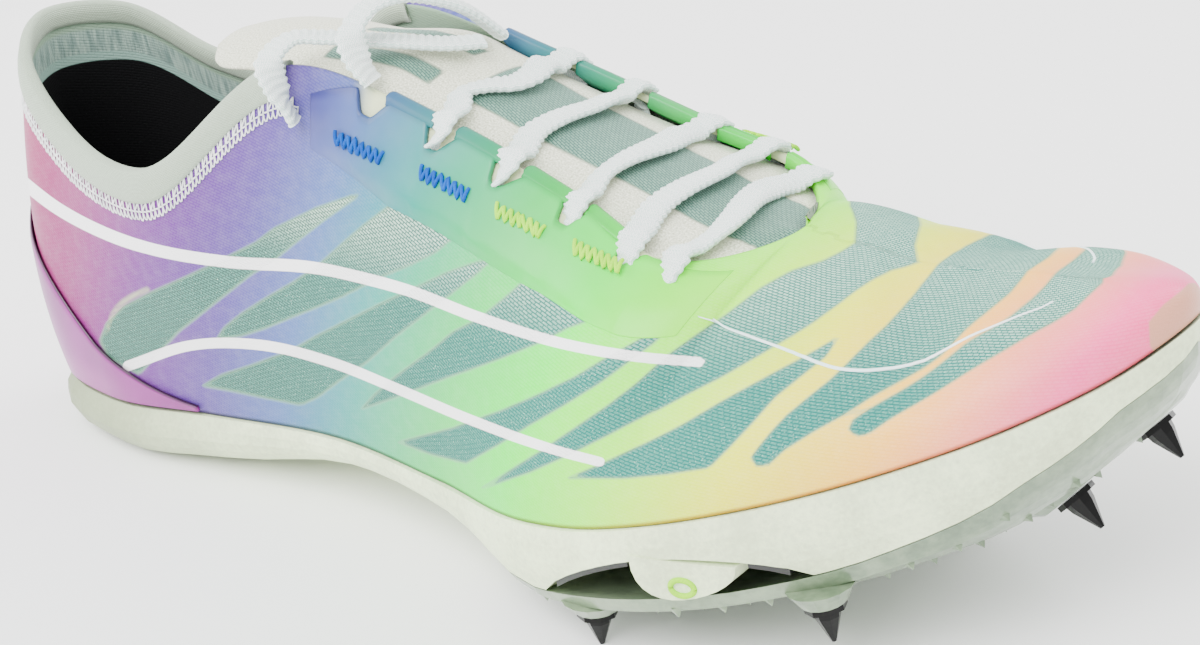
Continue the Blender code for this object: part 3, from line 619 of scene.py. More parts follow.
def make_upper_look():
    look = Look("upper_fabric", Coat_Roughness=0.35, Specular_IOR_Level=0.2)
    film_edge = look.read("film")
    share = look.read("tint")
    threads, bend = thread_pattern(look, 0.42, 1.0)
    fine = look.noise(look.read("cloth", vector=True), 3.2, 2)
    mesh_base = look.ramp(share, (
        (0.0, seen(162, 167, 162)), (0.3, seen(158, 173, 169)), (0.5, seen(146, 178, 172)),
        (0.66, seen(144, 186, 180)), (0.82, seen(142, 184, 180)), (1.0, seen(144, 184, 180)),
    ))
    mesh_light = look.over(seen(180, 208, 201), seen(224, 232, 226), look.read("height"), 58, 76)
    mesh_colour = look.mix(look.math("MULTIPLY", threads, 0.62), mesh_base, mesh_light)
    mesh_colour = look.over(mesh_colour, seen(222, 234, 226), fine, 0.62, 0.74)
    film_colour = tint_ramp(look, share)
    clouded = look.math("MULTIPLY", look.step(bend, 0.35, 0.75), 0.03)
    film_colour = look.mix(clouded, film_colour, seen(238, 240, 238))
    film_colour = look.mix(look.math("MULTIPLY", threads, 0.05), film_colour, seen(244, 248, 244))
    is_film = look.step(film_edge, -0.10, 0.10)
    colour = look.mix(is_film, mesh_colour, film_colour)
    halo = look.math("ABSOLUTE", film_edge)
    colour = look.over(colour, seen(190, 208, 196), halo, 0.12, 0.55, 0.55, 0.0)
    colour = look.over(colour, seen(212, 214, 200), look.read("strip"), -0.5, 0.5, 0.0, 0.8)
    # A thin line along the upper's lowest millimetre, greenish grey towards the heel and orange-brown
    # towards the toe.
    foot_line = look.over(seen(122, 142, 128), seen(214, 160, 112), share, 0.55, 0.75)
    colour = look.over(colour, foot_line, look.read("foot"), 0.2, 1.1, 0.6, 0.0)
    colour = look.over(colour, seen(222, 200, 190), look.read("bumper"), -0.3, 0.3)
    piping = look.step(look.read("piping"), -0.08, 0.12)
    colour = look.mix(piping, colour, seen(236, 240, 244))
    throat = look.step(look.read("rim"), 7.0, 7.8, 1.0, 0.0)
    colour = look.mix(look.math("MULTIPLY", throat, look.read("cream")), colour, seen(222, 224, 212))
    raised = look.math("MAXIMUM", is_film, piping)
    mesh_height = look.math("MULTIPLY", threads, look.step(is_film, 0, 1, 1.0, 0.28))
    normal = look.bump(mesh_height, 0.16 * MM, 0.8)
    normal = look.bump(raised, 0.30 * MM, 0.8, normal)
    grain = look.noise(look.place(), 2600, 2)
    normal = look.bump(grain, 0.03 * MM, 0.5, normal)
    look.set(
        Base_Color=colour, Normal=normal,
        Roughness=look.step(raised, 0, 1, 0.74, 0.40), Coat_Weight=look.step(raised, 0, 1, 0.0, 0.12),
    )
    return look.material


def make_film_look(name):
    """The eyestay's smooth film, deeper in colour than the upper's and most so at its rim."""
    look = Look(
        name, Roughness=0.36, Coat_Weight=0.15, Coat_Roughness=0.22, Specular_IOR_Level=0.25
    )
    share = look.read("tint")
    cloud = look.noise(look.place(), 60, 3)
    colour = look.over(tint_ramp(look, share), seen(236, 244, 240), cloud, 0.3, 0.8, 0.0, 0.06)
    deep = look.ramp(share, (
        (0.0, seen(120, 90, 150)), (0.33, seen(98, 134, 178)), (0.45, seen(84, 170, 160)),
        (0.60, seen(92, 205, 116)), (0.70, seen(178, 232, 96)), (1.0, seen(220, 150, 170)),
    ))
    colour = look.over(colour, deep, look.read("edge"), 0.0, 2.4, 0.6, 0.2)
    grain = look.noise(look.place(), 1800, 3)
    normal = look.bump(grain, 0.05 * MM, 0.5)
    normal = look.bump(look.noise(look.place(), 140, 2), 0.35 * MM, 0.25, normal)
    look.set(Base_Color=colour, Normal=normal)
    return look.material


def make_plain_look(
    name, base, light, roughness, scale, depth, sheen=0.0, coat=0.0, metallic=0.0, heel=None
):
    """A surface that varies a little between two colours, with a fine grain. It may turn to a third,
    darker colour towards the heel, which is painted shade."""
    look = Look(
        name, Roughness=roughness, Metallic=metallic, Sheen_Weight=sheen, Coat_Weight=coat,
        Specular_IOR_Level=0.5 if roughness < 0.65 else 0.15,
    )
    place = look.place()
    cloud = look.noise(place, scale * 0.06, 3)
    grain = look.noise(place, scale, 3, 0.65)
    share = look.math("MULTIPLY_ADD", grain, 0.4, look.math("MULTIPLY", cloud, 0.6))
    colour = look.over(base, light, share, 0.32, 0.68)
    # Painted shade: towards the heel the colour gives way to a darker one, as if the heel lay in shadow.
    if heel:
        forward = look.node("SeparateXYZ", Vector=place).outputs[0]
        colour = look.over(colour, heel, forward, -45 * MM, 60 * MM, 0.9, 0.0)
    look.set(Base_Color=colour, Normal=look.bump(grain, depth, 0.7))
    return look.material


def make_weave_look(name, dark, light, size, depth, roughness=0.85, sheen=0.3):
    """Cloth whose threads show, from the millimetres kept in its cloth values."""
    look = Look(name, Roughness=roughness, Sheen_Weight=sheen)
    threads, _ = thread_pattern(look, 0.0, size)
    fuzz = look.noise(look.read("cloth", vector=True), 5.0, 3, 0.7)
    share = look.math("MULTIPLY_ADD", fuzz, 0.5, look.math("MULTIPLY", threads, 0.6))
    normal = look.bump(fuzz, depth * 0.5, 0.6, look.bump(threads, depth, 0.7))
    look.set(Base_Color=look.over(dark, light, share, 0.2, 0.85), Normal=normal)
    return look.material


LACE_LOOK = make_weave_look(
    "white_lace", seen(218, 225, 223), seen(250, 252, 251), 1.7, 0.12 * MM, 0.9, 0.2
)

# The cords come first: the lace's loop over the tongue and its end, on the same routes as
# the part's source.
LOOP_ROUTE = (
    (0.0760, -0.0172, 0.0994), (0.0735, -0.0176, 0.1034), (0.0710, -0.0160, 0.1085),
    (0.0715, -0.0115, 0.1122), (0.0740, -0.0050, 0.1130), (0.0770, 0.0020, 0.1105),
    (0.0795, 0.0090, 0.1060), (0.0820, 0.0158, 0.0984),
)
END_ROUTE = (
    (0.0590, -0.0240, 0.0910), (0.0570, -0.0252, 0.0975), (0.0545, -0.0238, 0.1036),
    (0.0555, -0.0180, 0.1062), (0.0605, -0.0130, 0.1054), (0.0670, -0.0095, 0.1046),
    (0.0740, -0.0050, 0.1034), (0.0810, 0.0010, 0.1016), (0.0850, 0.0070, 0.1004),
)
BRAID_STEP = 0.4 * MM
BRAID_PITCH = 1.7 * MM
BRAID_SIDES = 24
BRAID_WIDTH = LACE_WIDTH * 1.2
BRAID_THICK = LACE_THICK * 1.15
BRAID_SCALLOP = 0.11
BRAID_RELIEF = 0.30
BRAID_WAVE = (0.03, 7.3 * MM)


def lace_rings(route, twist=None):
    """The rings of a flat braided lace along a route: scalloped edges and a chevron face."""
    route = smooth_curve(route)(np.linspace(0, len(route) - 1, 12 * len(route)))
    length = np.linalg.norm(np.diff(route, axis=0), axis=1).sum()
    path = even_steps(route, int(length / BRAID_STEP) + 1)
    run = np.gradient(path, axis=0)
    run /= np.linalg.norm(run, axis=1)[:, None]
    side = np.cross(run, UPWARD)
    for row in range(1, len(side)):
        if np.linalg.norm(side[row]) < 0.15 or side[row] @ side[row - 1] < 0:
            side[row] = side[row - 1] - run[row] * (side[row - 1] @ run[row])
    side /= np.linalg.norm(side, axis=1)[:, None]
    up = np.cross(side, run)
    far = np.linspace(0, length, len(path))
    if twist is not None:
        roll = np.interp(far / length, *zip(*twist))[:, None]
        side, up = side * np.cos(roll) + up * np.sin(roll), up * np.cos(roll) - side * np.sin(roll)
    turn = (np.arange(BRAID_SIDES) + 0.5) / BRAID_SIDES * math.tau
    across = np.sign(np.cos(turn)) * np.abs(np.cos(turn)) ** 0.75
    height = np.sign(np.sin(turn)) * np.abs(np.sin(turn)) ** 0.8
    phase = far[:, None] / BRAID_PITCH
    scallop = 1 + BRAID_SCALLOP * np.sin(math.tau * phase + np.where(across > 0, 0, math.pi))
    chevron = np.sin(math.tau * (phase + 0.55 * np.abs(across)))
    relief = 1 + BRAID_RELIEF * chevron * (1 - across**4)
    wave = 1 + BRAID_WAVE[0] * np.sin(far / BRAID_WAVE[1])[:, None]
    rings = (
        path[:, None]
        + side[:, None] * (across * scallop * wave * BRAID_WIDTH / 2)[..., None]
        + up[:, None] * (height * relief * BRAID_THICK / 2)[..., None]
    )
    cloth = np.zeros(rings.shape)
    cloth[..., 0] = far[:, None] / MM
    cloth[..., 1] = across * BRAID_WIDTH / 2 / MM
    return rings, cloth, path, length


def make_lace(name, route, node, twist=None):
    rings, cloth, path, length = lace_rings(route, twist)
    faces = tube_faces(len(rings), BRAID_SIDES)
    values = {"cloth": cloth.reshape(-1, 3)}
    piece = make_piece(name, rings.reshape(-1, 3), faces, [LACE_LOOK], values)
    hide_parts(node)
    return piece, path, length


def make_free_lace(name, node, route):
    piece, path, length = make_lace(name, np.array(route), node)


make_free_lace("braided_loop", "lace_loop", LOOP_ROUTE)
make_free_lace("braided_end", "lace_end", END_ROUTE)

# Outlines read off the photograph, in its pixels, on the near side of the shoe. The far
# side of the upper takes the same ones, station for station.
MESH_PANELS = {
    "heel_panel": (
        (357, 194), (316, 208), (273, 229), (255, 243), (212, 265), (178, 281), (150, 293),
        (123, 307), (106, 324), (100, 341), (109, 358), (139, 374), (161, 350), (178, 332),
        (201, 314), (230, 291), (250, 275), (270, 263), (298, 240), (324, 220), (357, 197),
    ),
    "arch_panel": (
        (392, 204), (424, 214), (456, 235), (436, 252), (410, 265), (381, 277), (361, 287),
        (339, 298), (315, 308), (290, 318), (266, 328), (241, 336), (217, 339), (224, 328),
        (241, 314), (266, 298), (290, 284), (315, 267), (339, 246), (364, 225),
    ),
    "low_panel": (
        (203, 386), (220, 376), (255, 364), (290, 351), (318, 335), (346, 321), (378, 305),
        (410, 290), (448, 272), (495, 256), (476, 274), (452, 293), (424, 314), (395, 337),
        (367, 362), (339, 381), (318, 397), (301, 405), (266, 398), (231, 391),
    ),
    "side_panel": (
        (536, 270), (574, 284), (618, 304), (594, 318), (567, 328), (543, 341), (501, 358),
        (448, 377), (402, 395), (362, 409), (374, 395), (395, 377), (424, 355), (452, 332),
        (480, 318), (508, 295),
    ),
    "ball_panel": (
        (399, 442), (453, 428), (499, 411), (537, 395), (575, 377), (606, 358), (637, 341),
        (673, 319), (656, 341), (629, 361), (598, 384), (564, 405), (530, 424), (499, 444),
        (466, 463), (430, 454),
    ),
    "tread_panel": (
        (569, 478), (606, 462), (644, 444), (683, 424), (721, 402), (759, 381), (797, 359),
        (838, 337), (826, 355), (797, 377), (775, 396), (752, 423), (730, 446), (708, 468),
        (667, 474), (625, 478),
    ),
    "vamp_panel": (
        (483, 488), (514, 468), (545, 448), (575, 428), (606, 407), (637, 383), (667, 356),
        (698, 334), (726, 315), (761, 288), (791, 271), (826, 258), (860, 240), (879, 223),
        (888, 206), (905, 170), (1010, 200), (1059, 235), (1059, 250), (1094, 259), (1106, 264),
        (1102, 282), (1075, 307), (1040, 328), (1006, 349), (967, 372), (929, 395), (891, 418),
        (868, 434), (856, 436), (849, 429), (853, 420), (868, 410), (845, 414), (814, 431),
        (784, 450), (768, 465), (757, 466), (751, 458), (759, 447), (772, 431), (787, 414),
        (807, 397), (830, 380), (849, 363), (868, 344), (887, 325), (906, 302), (925, 279),
        (941, 261), (941, 256), (918, 259), (891, 269), (860, 288), (826, 311), (794, 333),
        (759, 355), (721, 377), (683, 396), (644, 416), (606, 436), (568, 455), (530, 472),
    ),
}
FILM_BANDS = {
    "toe_band": (
        (845, 414), (868, 399), (898, 381), (925, 364), (944, 351), (964, 332), (986, 313),
        (1008, 293), (1023, 274), (1036, 259), (1053, 243), (1076, 248), (1074, 259), (1057, 272),
        (1046, 284), (1030, 299), (1011, 316), (994, 328), (967, 344), (944, 360), (921, 376),
        (898, 392), (868, 410),
    ),
    "ridge_band": ((951, 226), (967, 230), (990, 240), (984, 259), (951, 257)),
}
TOE_BUMPER = (
    (1150, 346), (1149, 322), (1163, 305), (1182, 290), (1260, 280), (1260, 380), (1180, 390),
)
# Lines drawn on the side. The last two values of each are the half widths at its ends.
CREAM_STRIPS = (
    ((397, 204), (425, 217), (455, 233), 3.4, 3.4),
    ((541, 273), (578, 287), (615, 301), 3.4, 3.4),
    ((146, 290), (126, 300), (111, 316), (106, 334), 2.4, 0.6),
)
# Plain white piping along the side, drawn in the same way.
PIPING = (
    ((6, 168), (60, 210), (130, 243), (220, 262), (310, 268), (400, 288), (480, 318), (560, 343),
     (640, 357), (700, 362), 6.2, 5.2),
    ((128, 366), (190, 346), (260, 345), (330, 362), (400, 390), (470, 420), (540, 446),
     (600, 462), 5.4, 5.0),
)


def inside_distance(pixels, outline):
    """How far each pixel lies inside a closed outline, negative outside it."""
    outline = np.array(outline, float)
    after = np.roll(outline, -1, axis=0)
    nearest = np.full(len(pixels), np.inf)
    inside = np.zeros(len(pixels), bool)
    for first, second in zip(outline, after):
        nearest = np.minimum(nearest, segment_distance(pixels, first, second)[0])
        crosses = (first[1] > pixels[:, 1]) != (second[1] > pixels[:, 1])
        rise = second[1] - first[1] or 1e-9
        reach = first[0] + (pixels[:, 1] - first[1]) / rise * (second[0] - first[0])
        inside ^= crosses & (pixels[:, 0] < reach)
    return np.where(inside, nearest, -nearest)


def segment_distance(pixels, first, second):
    run = second - first
    share = np.clip(((pixels - first) @ run) / max(run @ run, 1e-9), 0, 1)
    return np.linalg.norm(pixels - first - share[:, None] * run, axis=1), share


def line_distance(pixels, line):
    """How far each pixel lies inside a drawn line whose width changes along it."""
    points = np.array([point for point in line if isinstance(point, tuple)], float)
    start, end = line[-2:]
    places = np.hstack([points, np.zeros((len(points), 1))])
    points = smooth_curve(places)(np.linspace(0, len(points) - 1, 8 * len(points)))[:, :2]
    best = np.full(len(pixels), -np.inf)
    middle = max(start, end) * (1.8 if start < 1 else 1.0)
    for number, (first, second) in enumerate(zip(points, points[1:])):
        distance, share = segment_distance(pixels, first, second)
        along = (number + share) / (len(points) - 1)
        half = np.interp(along, (0, 0.45, 1), (start, middle, end))
        best = np.maximum(best, half - distance)
    return best


# The upper: a fine grid over the same last, with soft creases.
STATION_STEPS = 520
SHARE_STEPS = 76
# Where the upper creases: two ends as section number and share of the wall, how wide the
# trough is and how deep, in millimetres. A negative depth is a ridge.
CREASES = (
    (8.5, 0.95, 9.1, 0.40, 5.0, 0.55), (8.95, 0.98, 9.5, 0.50, 4.0, -0.35),
    (9.4, 0.98, 10.1, 0.45, 5.5, 0.60), (10.0, 0.98, 10.5, 0.55, 4.0, -0.30),
    (10.7, 0.99, 11.3, 0.60, 5.0, 0.45), (7.6, 0.45, 8.6, 0.20, 6.0, 0.35),
    (5.2, 0.40, 6.3, 0.30, 7.0, 0.40), (3.0, 0.55, 4.2, 0.48, 8.0, 0.45),
    (2.2, 0.35, 3.2, 0.22, 7.0, 0.30), (12.0, 0.55, 12.8, 0.75, 5.0, 0.35),
)


def crease_lift(points):
    """How far the creases move the upper's face in (negative) or out, at each point."""
    lift = np.zeros(points.shape[:-1])
    for first, low, second, high, width, depth in CREASES:
        numbers = np.linspace(first, second, 9)
        shares = np.linspace(low, high, 9)
        lines = [skin(side_station(numbers, side), shares) for side in (-1, 1)]
        offset = points[..., None, :] - np.vstack(lines)
        near = np.linalg.norm(offset, axis=-1).min(axis=-1)
        lift -= np.exp(-((near / (width * MM)) ** 2)) * depth * MM
    return lift


def make_fields():
    """The upper's grid and the values that its material reads."""
    stations = np.linspace(0, 2 * TIP, STATION_STEPS, endpoint=False)
    shares = np.linspace(0, 1, SHARE_STEPS)
    face = skin(stations[:, None], shares[None, :])
    number, _ = fold(stations)
    half = STATION_STEPS // 2 + 1
    pixels = photo_pixel(face[:half].reshape(-1, 3))
    mesh = np.max([inside_distance(pixels, outline) for outline in MESH_PANELS.values()], axis=0)
    band = np.max([inside_distance(pixels, outline) for outline in FILM_BANDS.values()], axis=0)
    film = np.maximum(-mesh, band)
    near = {
        "film": film,
        "strip": np.max([line_distance(pixels, line) for line in CREAM_STRIPS], axis=0),
        "piping": np.max([line_distance(pixels, line) for line in PIPING], axis=0),
        "bumper": inside_distance(pixels, TOE_BUMPER),
    }
    mirror = np.minimum(np.arange(STATION_STEPS), STATION_STEPS - np.arange(STATION_STEPS))
    values = {}
    for key, value in near.items():
        value = np.clip(value * PIXEL / MM, -4, 4).reshape(half, SHARE_STEPS)
        values[key] = value[mirror]
    steps = np.linalg.norm(np.diff(face, axis=1), axis=2)
    up = np.concatenate([np.zeros((STATION_STEPS, 1)), np.cumsum(steps, axis=1)], axis=1) / MM
    along = run_lengths(face[:, SHARE_STEPS // 3])[mirror] / MM
    values["foot"] = up
    values["rim"] = up[:, -1:] - up
    values["tint"] = tint(face)
    values["height"] = face[..., 2] / MM
    on_throat = smooth_step(number, 4.45, 4.6) * (1 - smooth_step(number, 6.85, 7.05))
    values["cream"] = np.repeat(on_throat[:, None], SHARE_STEPS, axis=1)
    values["lining"] = np.repeat(smooth_step(number, 4.3, 4.8)[:, None], SHARE_STEPS, axis=1)
    along = np.repeat(along[:, None], SHARE_STEPS, axis=1)
    values["cloth"] = np.stack([along, up, np.zeros(up.shape)], axis=-1)
    return stations, shares, face, values


BLACK_CLOTH = ((0.001, 0.001, 0.0012), (0.006, 0.006, 0.007))


def make_lining_look():
    """Ribbed knit in bands below the collar's rim, then black, and pale under the throat."""
    look = Look("inner_lining", Roughness=0.92, Specular_IOR_Level=0.15)
    cloth = look.read("cloth", vector=True)
    threads, _ = thread_pattern(look, 0.3, 0.9)
    pale = look.mix(look.math("MULTIPLY", threads, 0.6), seen(170, 182, 174), seen(214, 218, 208))
    dark = look.mix(look.noise(cloth, 2.2, 3), *BLACK_CLOTH)
    below = look.read("rim")
    ribs = look.noise(look.shifted(cloth, 0.0, (1.1, 0.12, 1)), 1.0, 3)
    ribbed = look.over(seen(186, 197, 194), seen(208, 216, 212), ribs, 0.3, 0.7)
    collar = look.over(seen(200, 210, 201), ribbed, below, 5.4, 6.6)
    collar = look.over(collar, seen(200, 212, 208), below, 11.5, 12.1)
    dark = look.over(collar, dark, below, 13.8, 14.2)
    colour = look.mix(look.read("lining"), dark, pale)
    look.set(Base_Color=colour, Normal=look.bump(threads, 0.15 * MM, 0.7))
    return look.material


def make_upper():
    stations, shares, face, values = make_fields()
    lift = crease_lift(face)
    lift *= smooth_step(shares, 0.0, 0.12) * (1 - smooth_step(shares, 0.94, 1.0) * (values["cream"] > 0))
    across = -np.arange(STATION_STEPS) % STATION_STEPS
    joined = (stations > BALL + 0.001) & (stations < 2 * TIP - BALL - 0.001)
    normal = (skin(stations[:, None], shares[None, :], 1 * MM) - face) / MM
    level = normal + normal[across]
    level /= np.linalg.norm(level, axis=-1)[..., None]
    near_ridge = (smooth_step(shares, 0.72, 1.0)[None, :] * joined[:, None])[..., None]
    normal = normal * (1 - near_ridge) + level * near_ridge
    normal /= np.linalg.norm(normal, axis=-1)[..., None]
    lift[joined] = (lift[joined] + lift[across][joined]) / 2
    outer = face + normal * lift[..., None]
    inner = face + normal * (lift - UPPER_WALL)[..., None]
    looks = [make_upper_look(), make_lining_look()]
    piece = sheet_piece("upper_shell", outer, inner, looks, values, loop_rows=True, joined=joined)
    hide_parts("upper")


make_upper()
OUTER_NUMBERS = np.linspace(0, TIP, 521)
OUTER_SHARES = np.linspace(0, 1, 201)
OUTER_PIXELS = photo_pixel(skin(OUTER_NUMBERS[:, None], OUTER_SHARES[None, :]))


def skin_place(pixel):
    """The section number and share of the wall that the photograph shows at a pixel."""
    gap = np.linalg.norm(OUTER_PIXELS - pixel, axis=-1)
    row, column = np.unravel_index(gap.argmin(), gap.shape)
    return OUTER_NUMBERS[row], OUTER_SHARES[column]


# A hair-thin raised line round each side of the toe, in the photograph's pixels.
PINSTRIPE = ((695, 315), (740, 333), (790, 350), (850, 371), (900, 366), (960, 342), (1058, 297))
STRIPE_HALF = 0.5 * MM


def make_pinstripes():
    white = make_plain_look("stripe_white", seen(226, 232, 238), seen(240, 244, 248), 0.4, 900, 0.02 * MM)
    shell = surface_of(bpy.data.objects["upper_shell"])
    flat = np.hstack([np.array(PINSTRIPE, float), np.zeros((len(PINSTRIPE), 1))])
    places = smooth_curve(flat)(np.linspace(0, len(PINSTRIPE) - 1, 60))[:, :2]
    number, share = np.array([skin_place(place) for place in places]).T
    number, share = soften(number, np.hanning(9)), soften(share, np.hanning(9))
    taper = 0.25 + 0.75 * np.sin(math.pi * np.linspace(0.04, 0.9, len(number)))
    paths = []
    for side in (-1, 1):
        path = skin(side_station(number, side), share, 1.0 * MM)
        paths.append(np.array([shell.find_nearest(Vector(point))[0] for point in path]))
    piece = many_tubes("pinstripes", paths, STRIPE_HALF * taper, white, 8, 0.55)


make_pinstripes()

# The eyestay's film, with its notches.
NOTCHES = (4.56, 5.02, 5.48, 5.95, 6.62)
NOTCH_PITCH = 0.46
EYESTAY_FIRST = 4.18
EYESTAY_LAST = 7.6
EYESTAY_LOW = ((4.18, 0.78), (4.8, 0.70), (5.4, 0.69), (6.9, 0.67), (7.6, 0.62))
EYESTAY_COLUMNS = 340
EYESTAY_ROWS = 16


def eyestay_lines():
    """Section numbers along the film, with how far its edge is cut below the rim there."""
    numbers = [(EYESTAY_FIRST, 1.0)]
    for notch in NOTCHES:
        pitch = NOTCH_PITCH * (1.15 if notch > 6 else 1.0)
        numbers += [
            (notch - 0.10 * pitch, 0.0),
            (notch - 0.08 * pitch, 1.0),
            (notch + 0.12 * pitch, 1.0),
            (notch + 0.34 * pitch, 0.0),
            (notch + 0.62 * pitch, 0.0),
        ]
    numbers += [(7.05, 0.1), (7.22, 0.5), (7.4, 1.0), (EYESTAY_LAST, 1.6)]
    return numbers


def make_eyestay(side, name, node, look):
    lines = np.array(eyestay_lines())
    numbers = np.linspace(EYESTAY_FIRST, EYESTAY_LAST, EYESTAY_COLUMNS)
    cuts = np.interp(numbers, lines[:, 0], lines[:, 1])
    cuts = soften(cuts, np.exp(-(np.linspace(-2, 2, 9) ** 2)))
    stations = side_station(numbers, side)
    if side > 0:
        stations, cuts, numbers = stations[::-1], cuts[::-1], numbers[::-1]
    low = np.interp(numbers, *zip(*EYESTAY_LOW))
    high = share_below_top(stations, 0.4 * MM + cuts * NOTCH_DEPTH)
    blend = np.concatenate([[0, 0.015], np.linspace(0.05, 0.95, EYESTAY_ROWS - 4), [0.985, 1]])
    shares = low[:, None] + (high - low)[:, None] * blend
    raised = smooth_step(numbers, EYESTAY_FIRST, 4.6) * (1 - smooth_step(numbers, 6.1, 7.1))
    raised = 0.06 + 0.94 * raised[:, None] * smooth_step(blend, 0.0, 0.16)
    wall_size = EYESTAY_WALL * (0.55 + 0.45 * smooth_step(1 - blend, -0.01, 0.05))
    puff = 0.15 * MM * np.sin(math.pi * blend) ** 2
    inner = skin(stations[:, None], shares, FILM_GAP * 0.5 * raised)
    outer = skin(stations[:, None], shares, FILM_GAP * raised + (wall_size + puff) * raised)
    height = np.linalg.norm(outer - outer[:, -1:], axis=-1) / MM
    values = {"tint": tint(outer), "edge": height}
    piece = sheet_piece(name, outer, inner, [look], values)
    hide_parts(node)


# The film's teeth between its notches, rolled over the rim and down inside it: the section
# numbers at their ends, then the rows of points across them, in millimetres below the rim
# and out from the upper's face, or out from the rim and up from it where they go over it.
ROLL_ENDS = ((4.69, 5.0), (5.15, 5.46), (5.61, 5.93), (6.08, 6.6), (6.78, 7.2))
ROLL_OUTSIDE = ((1.6, 1.15), (0.7, 1.3))
ROLL_OVER = ((0.95, 0.75), (0.1, 1.2), (-0.8, 1.25), (-1.6, 0.9))
ROLL_INSIDE = ((0.8, -2.2), (2.2, -2.3), (3.8, -2.25), (5.2, -2.15))


def make_rolled_teeth(side, name, look):
    points, faces, tints, edges = [], [], [], []
    for first, last in ROLL_ENDS[:4] if side < 0 else ROLL_ENDS:
        numbers = np.linspace(first, last, 30)
        if side > 0:
            numbers = numbers[::-1]
        stations = side_station(numbers, side)
        middle = (numbers - first) / (last - first) * 2 - 1
        depth = np.sqrt(np.clip(1 - np.abs(middle) ** 5, 0.02, 1))
        rings = [rim_skin(stations, below, lift) for below, lift in ROLL_OUTSIDE]
        rings += [rim_line(stations, outward, up) for outward, up in ROLL_OVER]
        rings += [rim_skin(stations, below * depth, lift) for below, lift in ROLL_INSIDE]
        grid = np.stack(rings, axis=1)
        start = sum(len(part) for part in points)
        points.append(grid.reshape(-1, 3))
        faces += grid_faces(*grid.shape[:2], start).tolist()
        tints.append(tint(grid).ravel())
        edges.append(np.tile(np.linspace(0.6, 1.2, grid.shape[1]), len(grid)))
    values = {"tint": np.concatenate(tints), "edge": np.concatenate(edges)}
    piece = make_piece(name, np.vstack(points), faces, [look], values)
    solid = piece.modifiers.new("Wall", "SOLIDIFY")
    solid.thickness = 0.35 * MM
    solid.offset = -1


EYESTAY_LOOK = make_film_look("eyestay_film")
make_rolled_teeth(-1, "rolled_teeth_near", EYESTAY_LOOK)
make_rolled_teeth(1, "rolled_teeth_far", EYESTAY_LOOK)
make_eyestay(-1, "eyestay_near", "eyestay_outer", EYESTAY_LOOK)
make_eyestay(1, "eyestay_far", "eyestay_inner", EYESTAY_LOOK)

# The zigzag tacks on the film: the photograph's pixels at the ends of each, and its colour.
TACKS = (
    ((341, 137), (388, 159), "blue"), ((424, 173), (471, 197), "blue"),
    ((501, 213), (547, 236), "volt"), ((577, 251), (624, 272), "volt"),
)
TACK_HALF = 7.5
TACK_POINTS = 15
TACK_THREAD = 0.42 * MM
THREAD_LOOKS = {
    name: make_plain_look(f"{name}_thread", base, light, roughness, 3000, 0.05 * MM, sheen)
    for name, base, light, roughness, sheen in (
        ("blue", (0.0, 0.045, 0.28), (0.0, 0.10, 0.44), 0.7, 0.0),
        ("volt", (0.26, 0.62, 0.0), (0.36, 0.78, 0.0), 0.7, 0.0),
        ("white", seen(222, 224, 224), seen(246, 246, 244), 0.5, 0.3),
    )
}


def make_tacks():
    for colour in ("blue", "volt"):
        paths = []
        for start, end, thread in TACKS:
            if thread != colour:
                continue
            start, end = np.array(start, float), np.array(end, float)
            run = end - start
            across = np.array([run[1] * 0.2, -np.linalg.norm(run)]) / np.linalg.norm(run)
            places = []
            for step in range(TACK_POINTS):
                swing = TACK_HALF if step % 2 == 0 else -TACK_HALF
                places.append(skin_place(start + run * step / (TACK_POINTS - 1) + across * swing))
            number, share = np.array(places).T
            fine = np.linspace(0, TACK_POINTS - 1, 6 * TACK_POINTS)
            number = np.interp(fine, np.arange(TACK_POINTS), number)
            share = np.interp(fine, np.arange(TACK_POINTS), share)
            rise = (0.15 + 0.42 * np.abs(np.sin(math.pi * fine)) ** 0.7) * MM
            for side in (-1, 1):
                paths.append(skin(side_station(number, side), share, FILM_GAP + EYESTAY_WALL + rise))
        piece = many_tubes(f"{colour}_tacks", paths, TACK_THREAD, THREAD_LOOKS[colour], 8)


make_tacks()

# The collar: a soft white band over the rim, and the lockstitched seam under it.
COLLAR_REACH = 4.0
# The rows of points round the band's section, in the same millimetres as the rolled teeth.
COLLAR_FACE = (
    (6.7, 0.25), (6.5, 0.55), (5.7, 0.75), (4.5, 0.9), (3.2, 1.0), (2.0, 1.0), (0.9, 0.85),
)
COLLAR_OVER = ((0.6, 0.4), (0.1, 0.8), (-0.7, 0.95), (-1.5, 0.75), (-2.05, 0.15))
COLLAR_INSIDE = ((1.5, -2.25), (3.2, -2.1), (4.2, -1.9), (4.3, -1.6), (2.0, -1.55))
COLLAR_UNDER_RIM = (-0.7, 0.15)
COLLAR_BACK = ((2.0, 0.15), (5.0, 0.15))
COLLAR_ROW_CLOTH = 1.1


def make_collar_band():
    numbers = np.linspace(-COLLAR_REACH, COLLAR_REACH, 200)
    stations = numbers % (2 * TIP)
    rings = [rim_skin(stations, below, lift) for below, lift in COLLAR_FACE]
    rings += [rim_line(stations, outward, up) for outward, up in COLLAR_OVER]
    rings += [rim_skin(stations, below, lift) for below, lift in COLLAR_INSIDE]
    rings.append(rim_line(stations, *COLLAR_UNDER_RIM))
    rings += [rim_skin(stations, below, lift) for below, lift in COLLAR_BACK]
    rings = np.stack(rings, axis=1)
    cloth = np.zeros(rings.shape)
    cloth[..., 0] = run_lengths(skin(stations, np.ones(len(stations))))[:, None] / MM
    cloth[..., 1] = np.arange(rings.shape[1]) * COLLAR_ROW_CLOTH
    look = make_weave_look(
        "collar_knit", seen(190, 196, 188), seen(214, 219, 212), 2.4, 0.04 * MM, 0.8, 0.2
    )
    faces = tube_faces(*rings.shape[:2])
    values = {"cloth": cloth.reshape(-1, 3)}
    piece = make_piece("collar_roll", rings.reshape(-1, 3), faces, [look], values)
    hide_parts("collar_band")


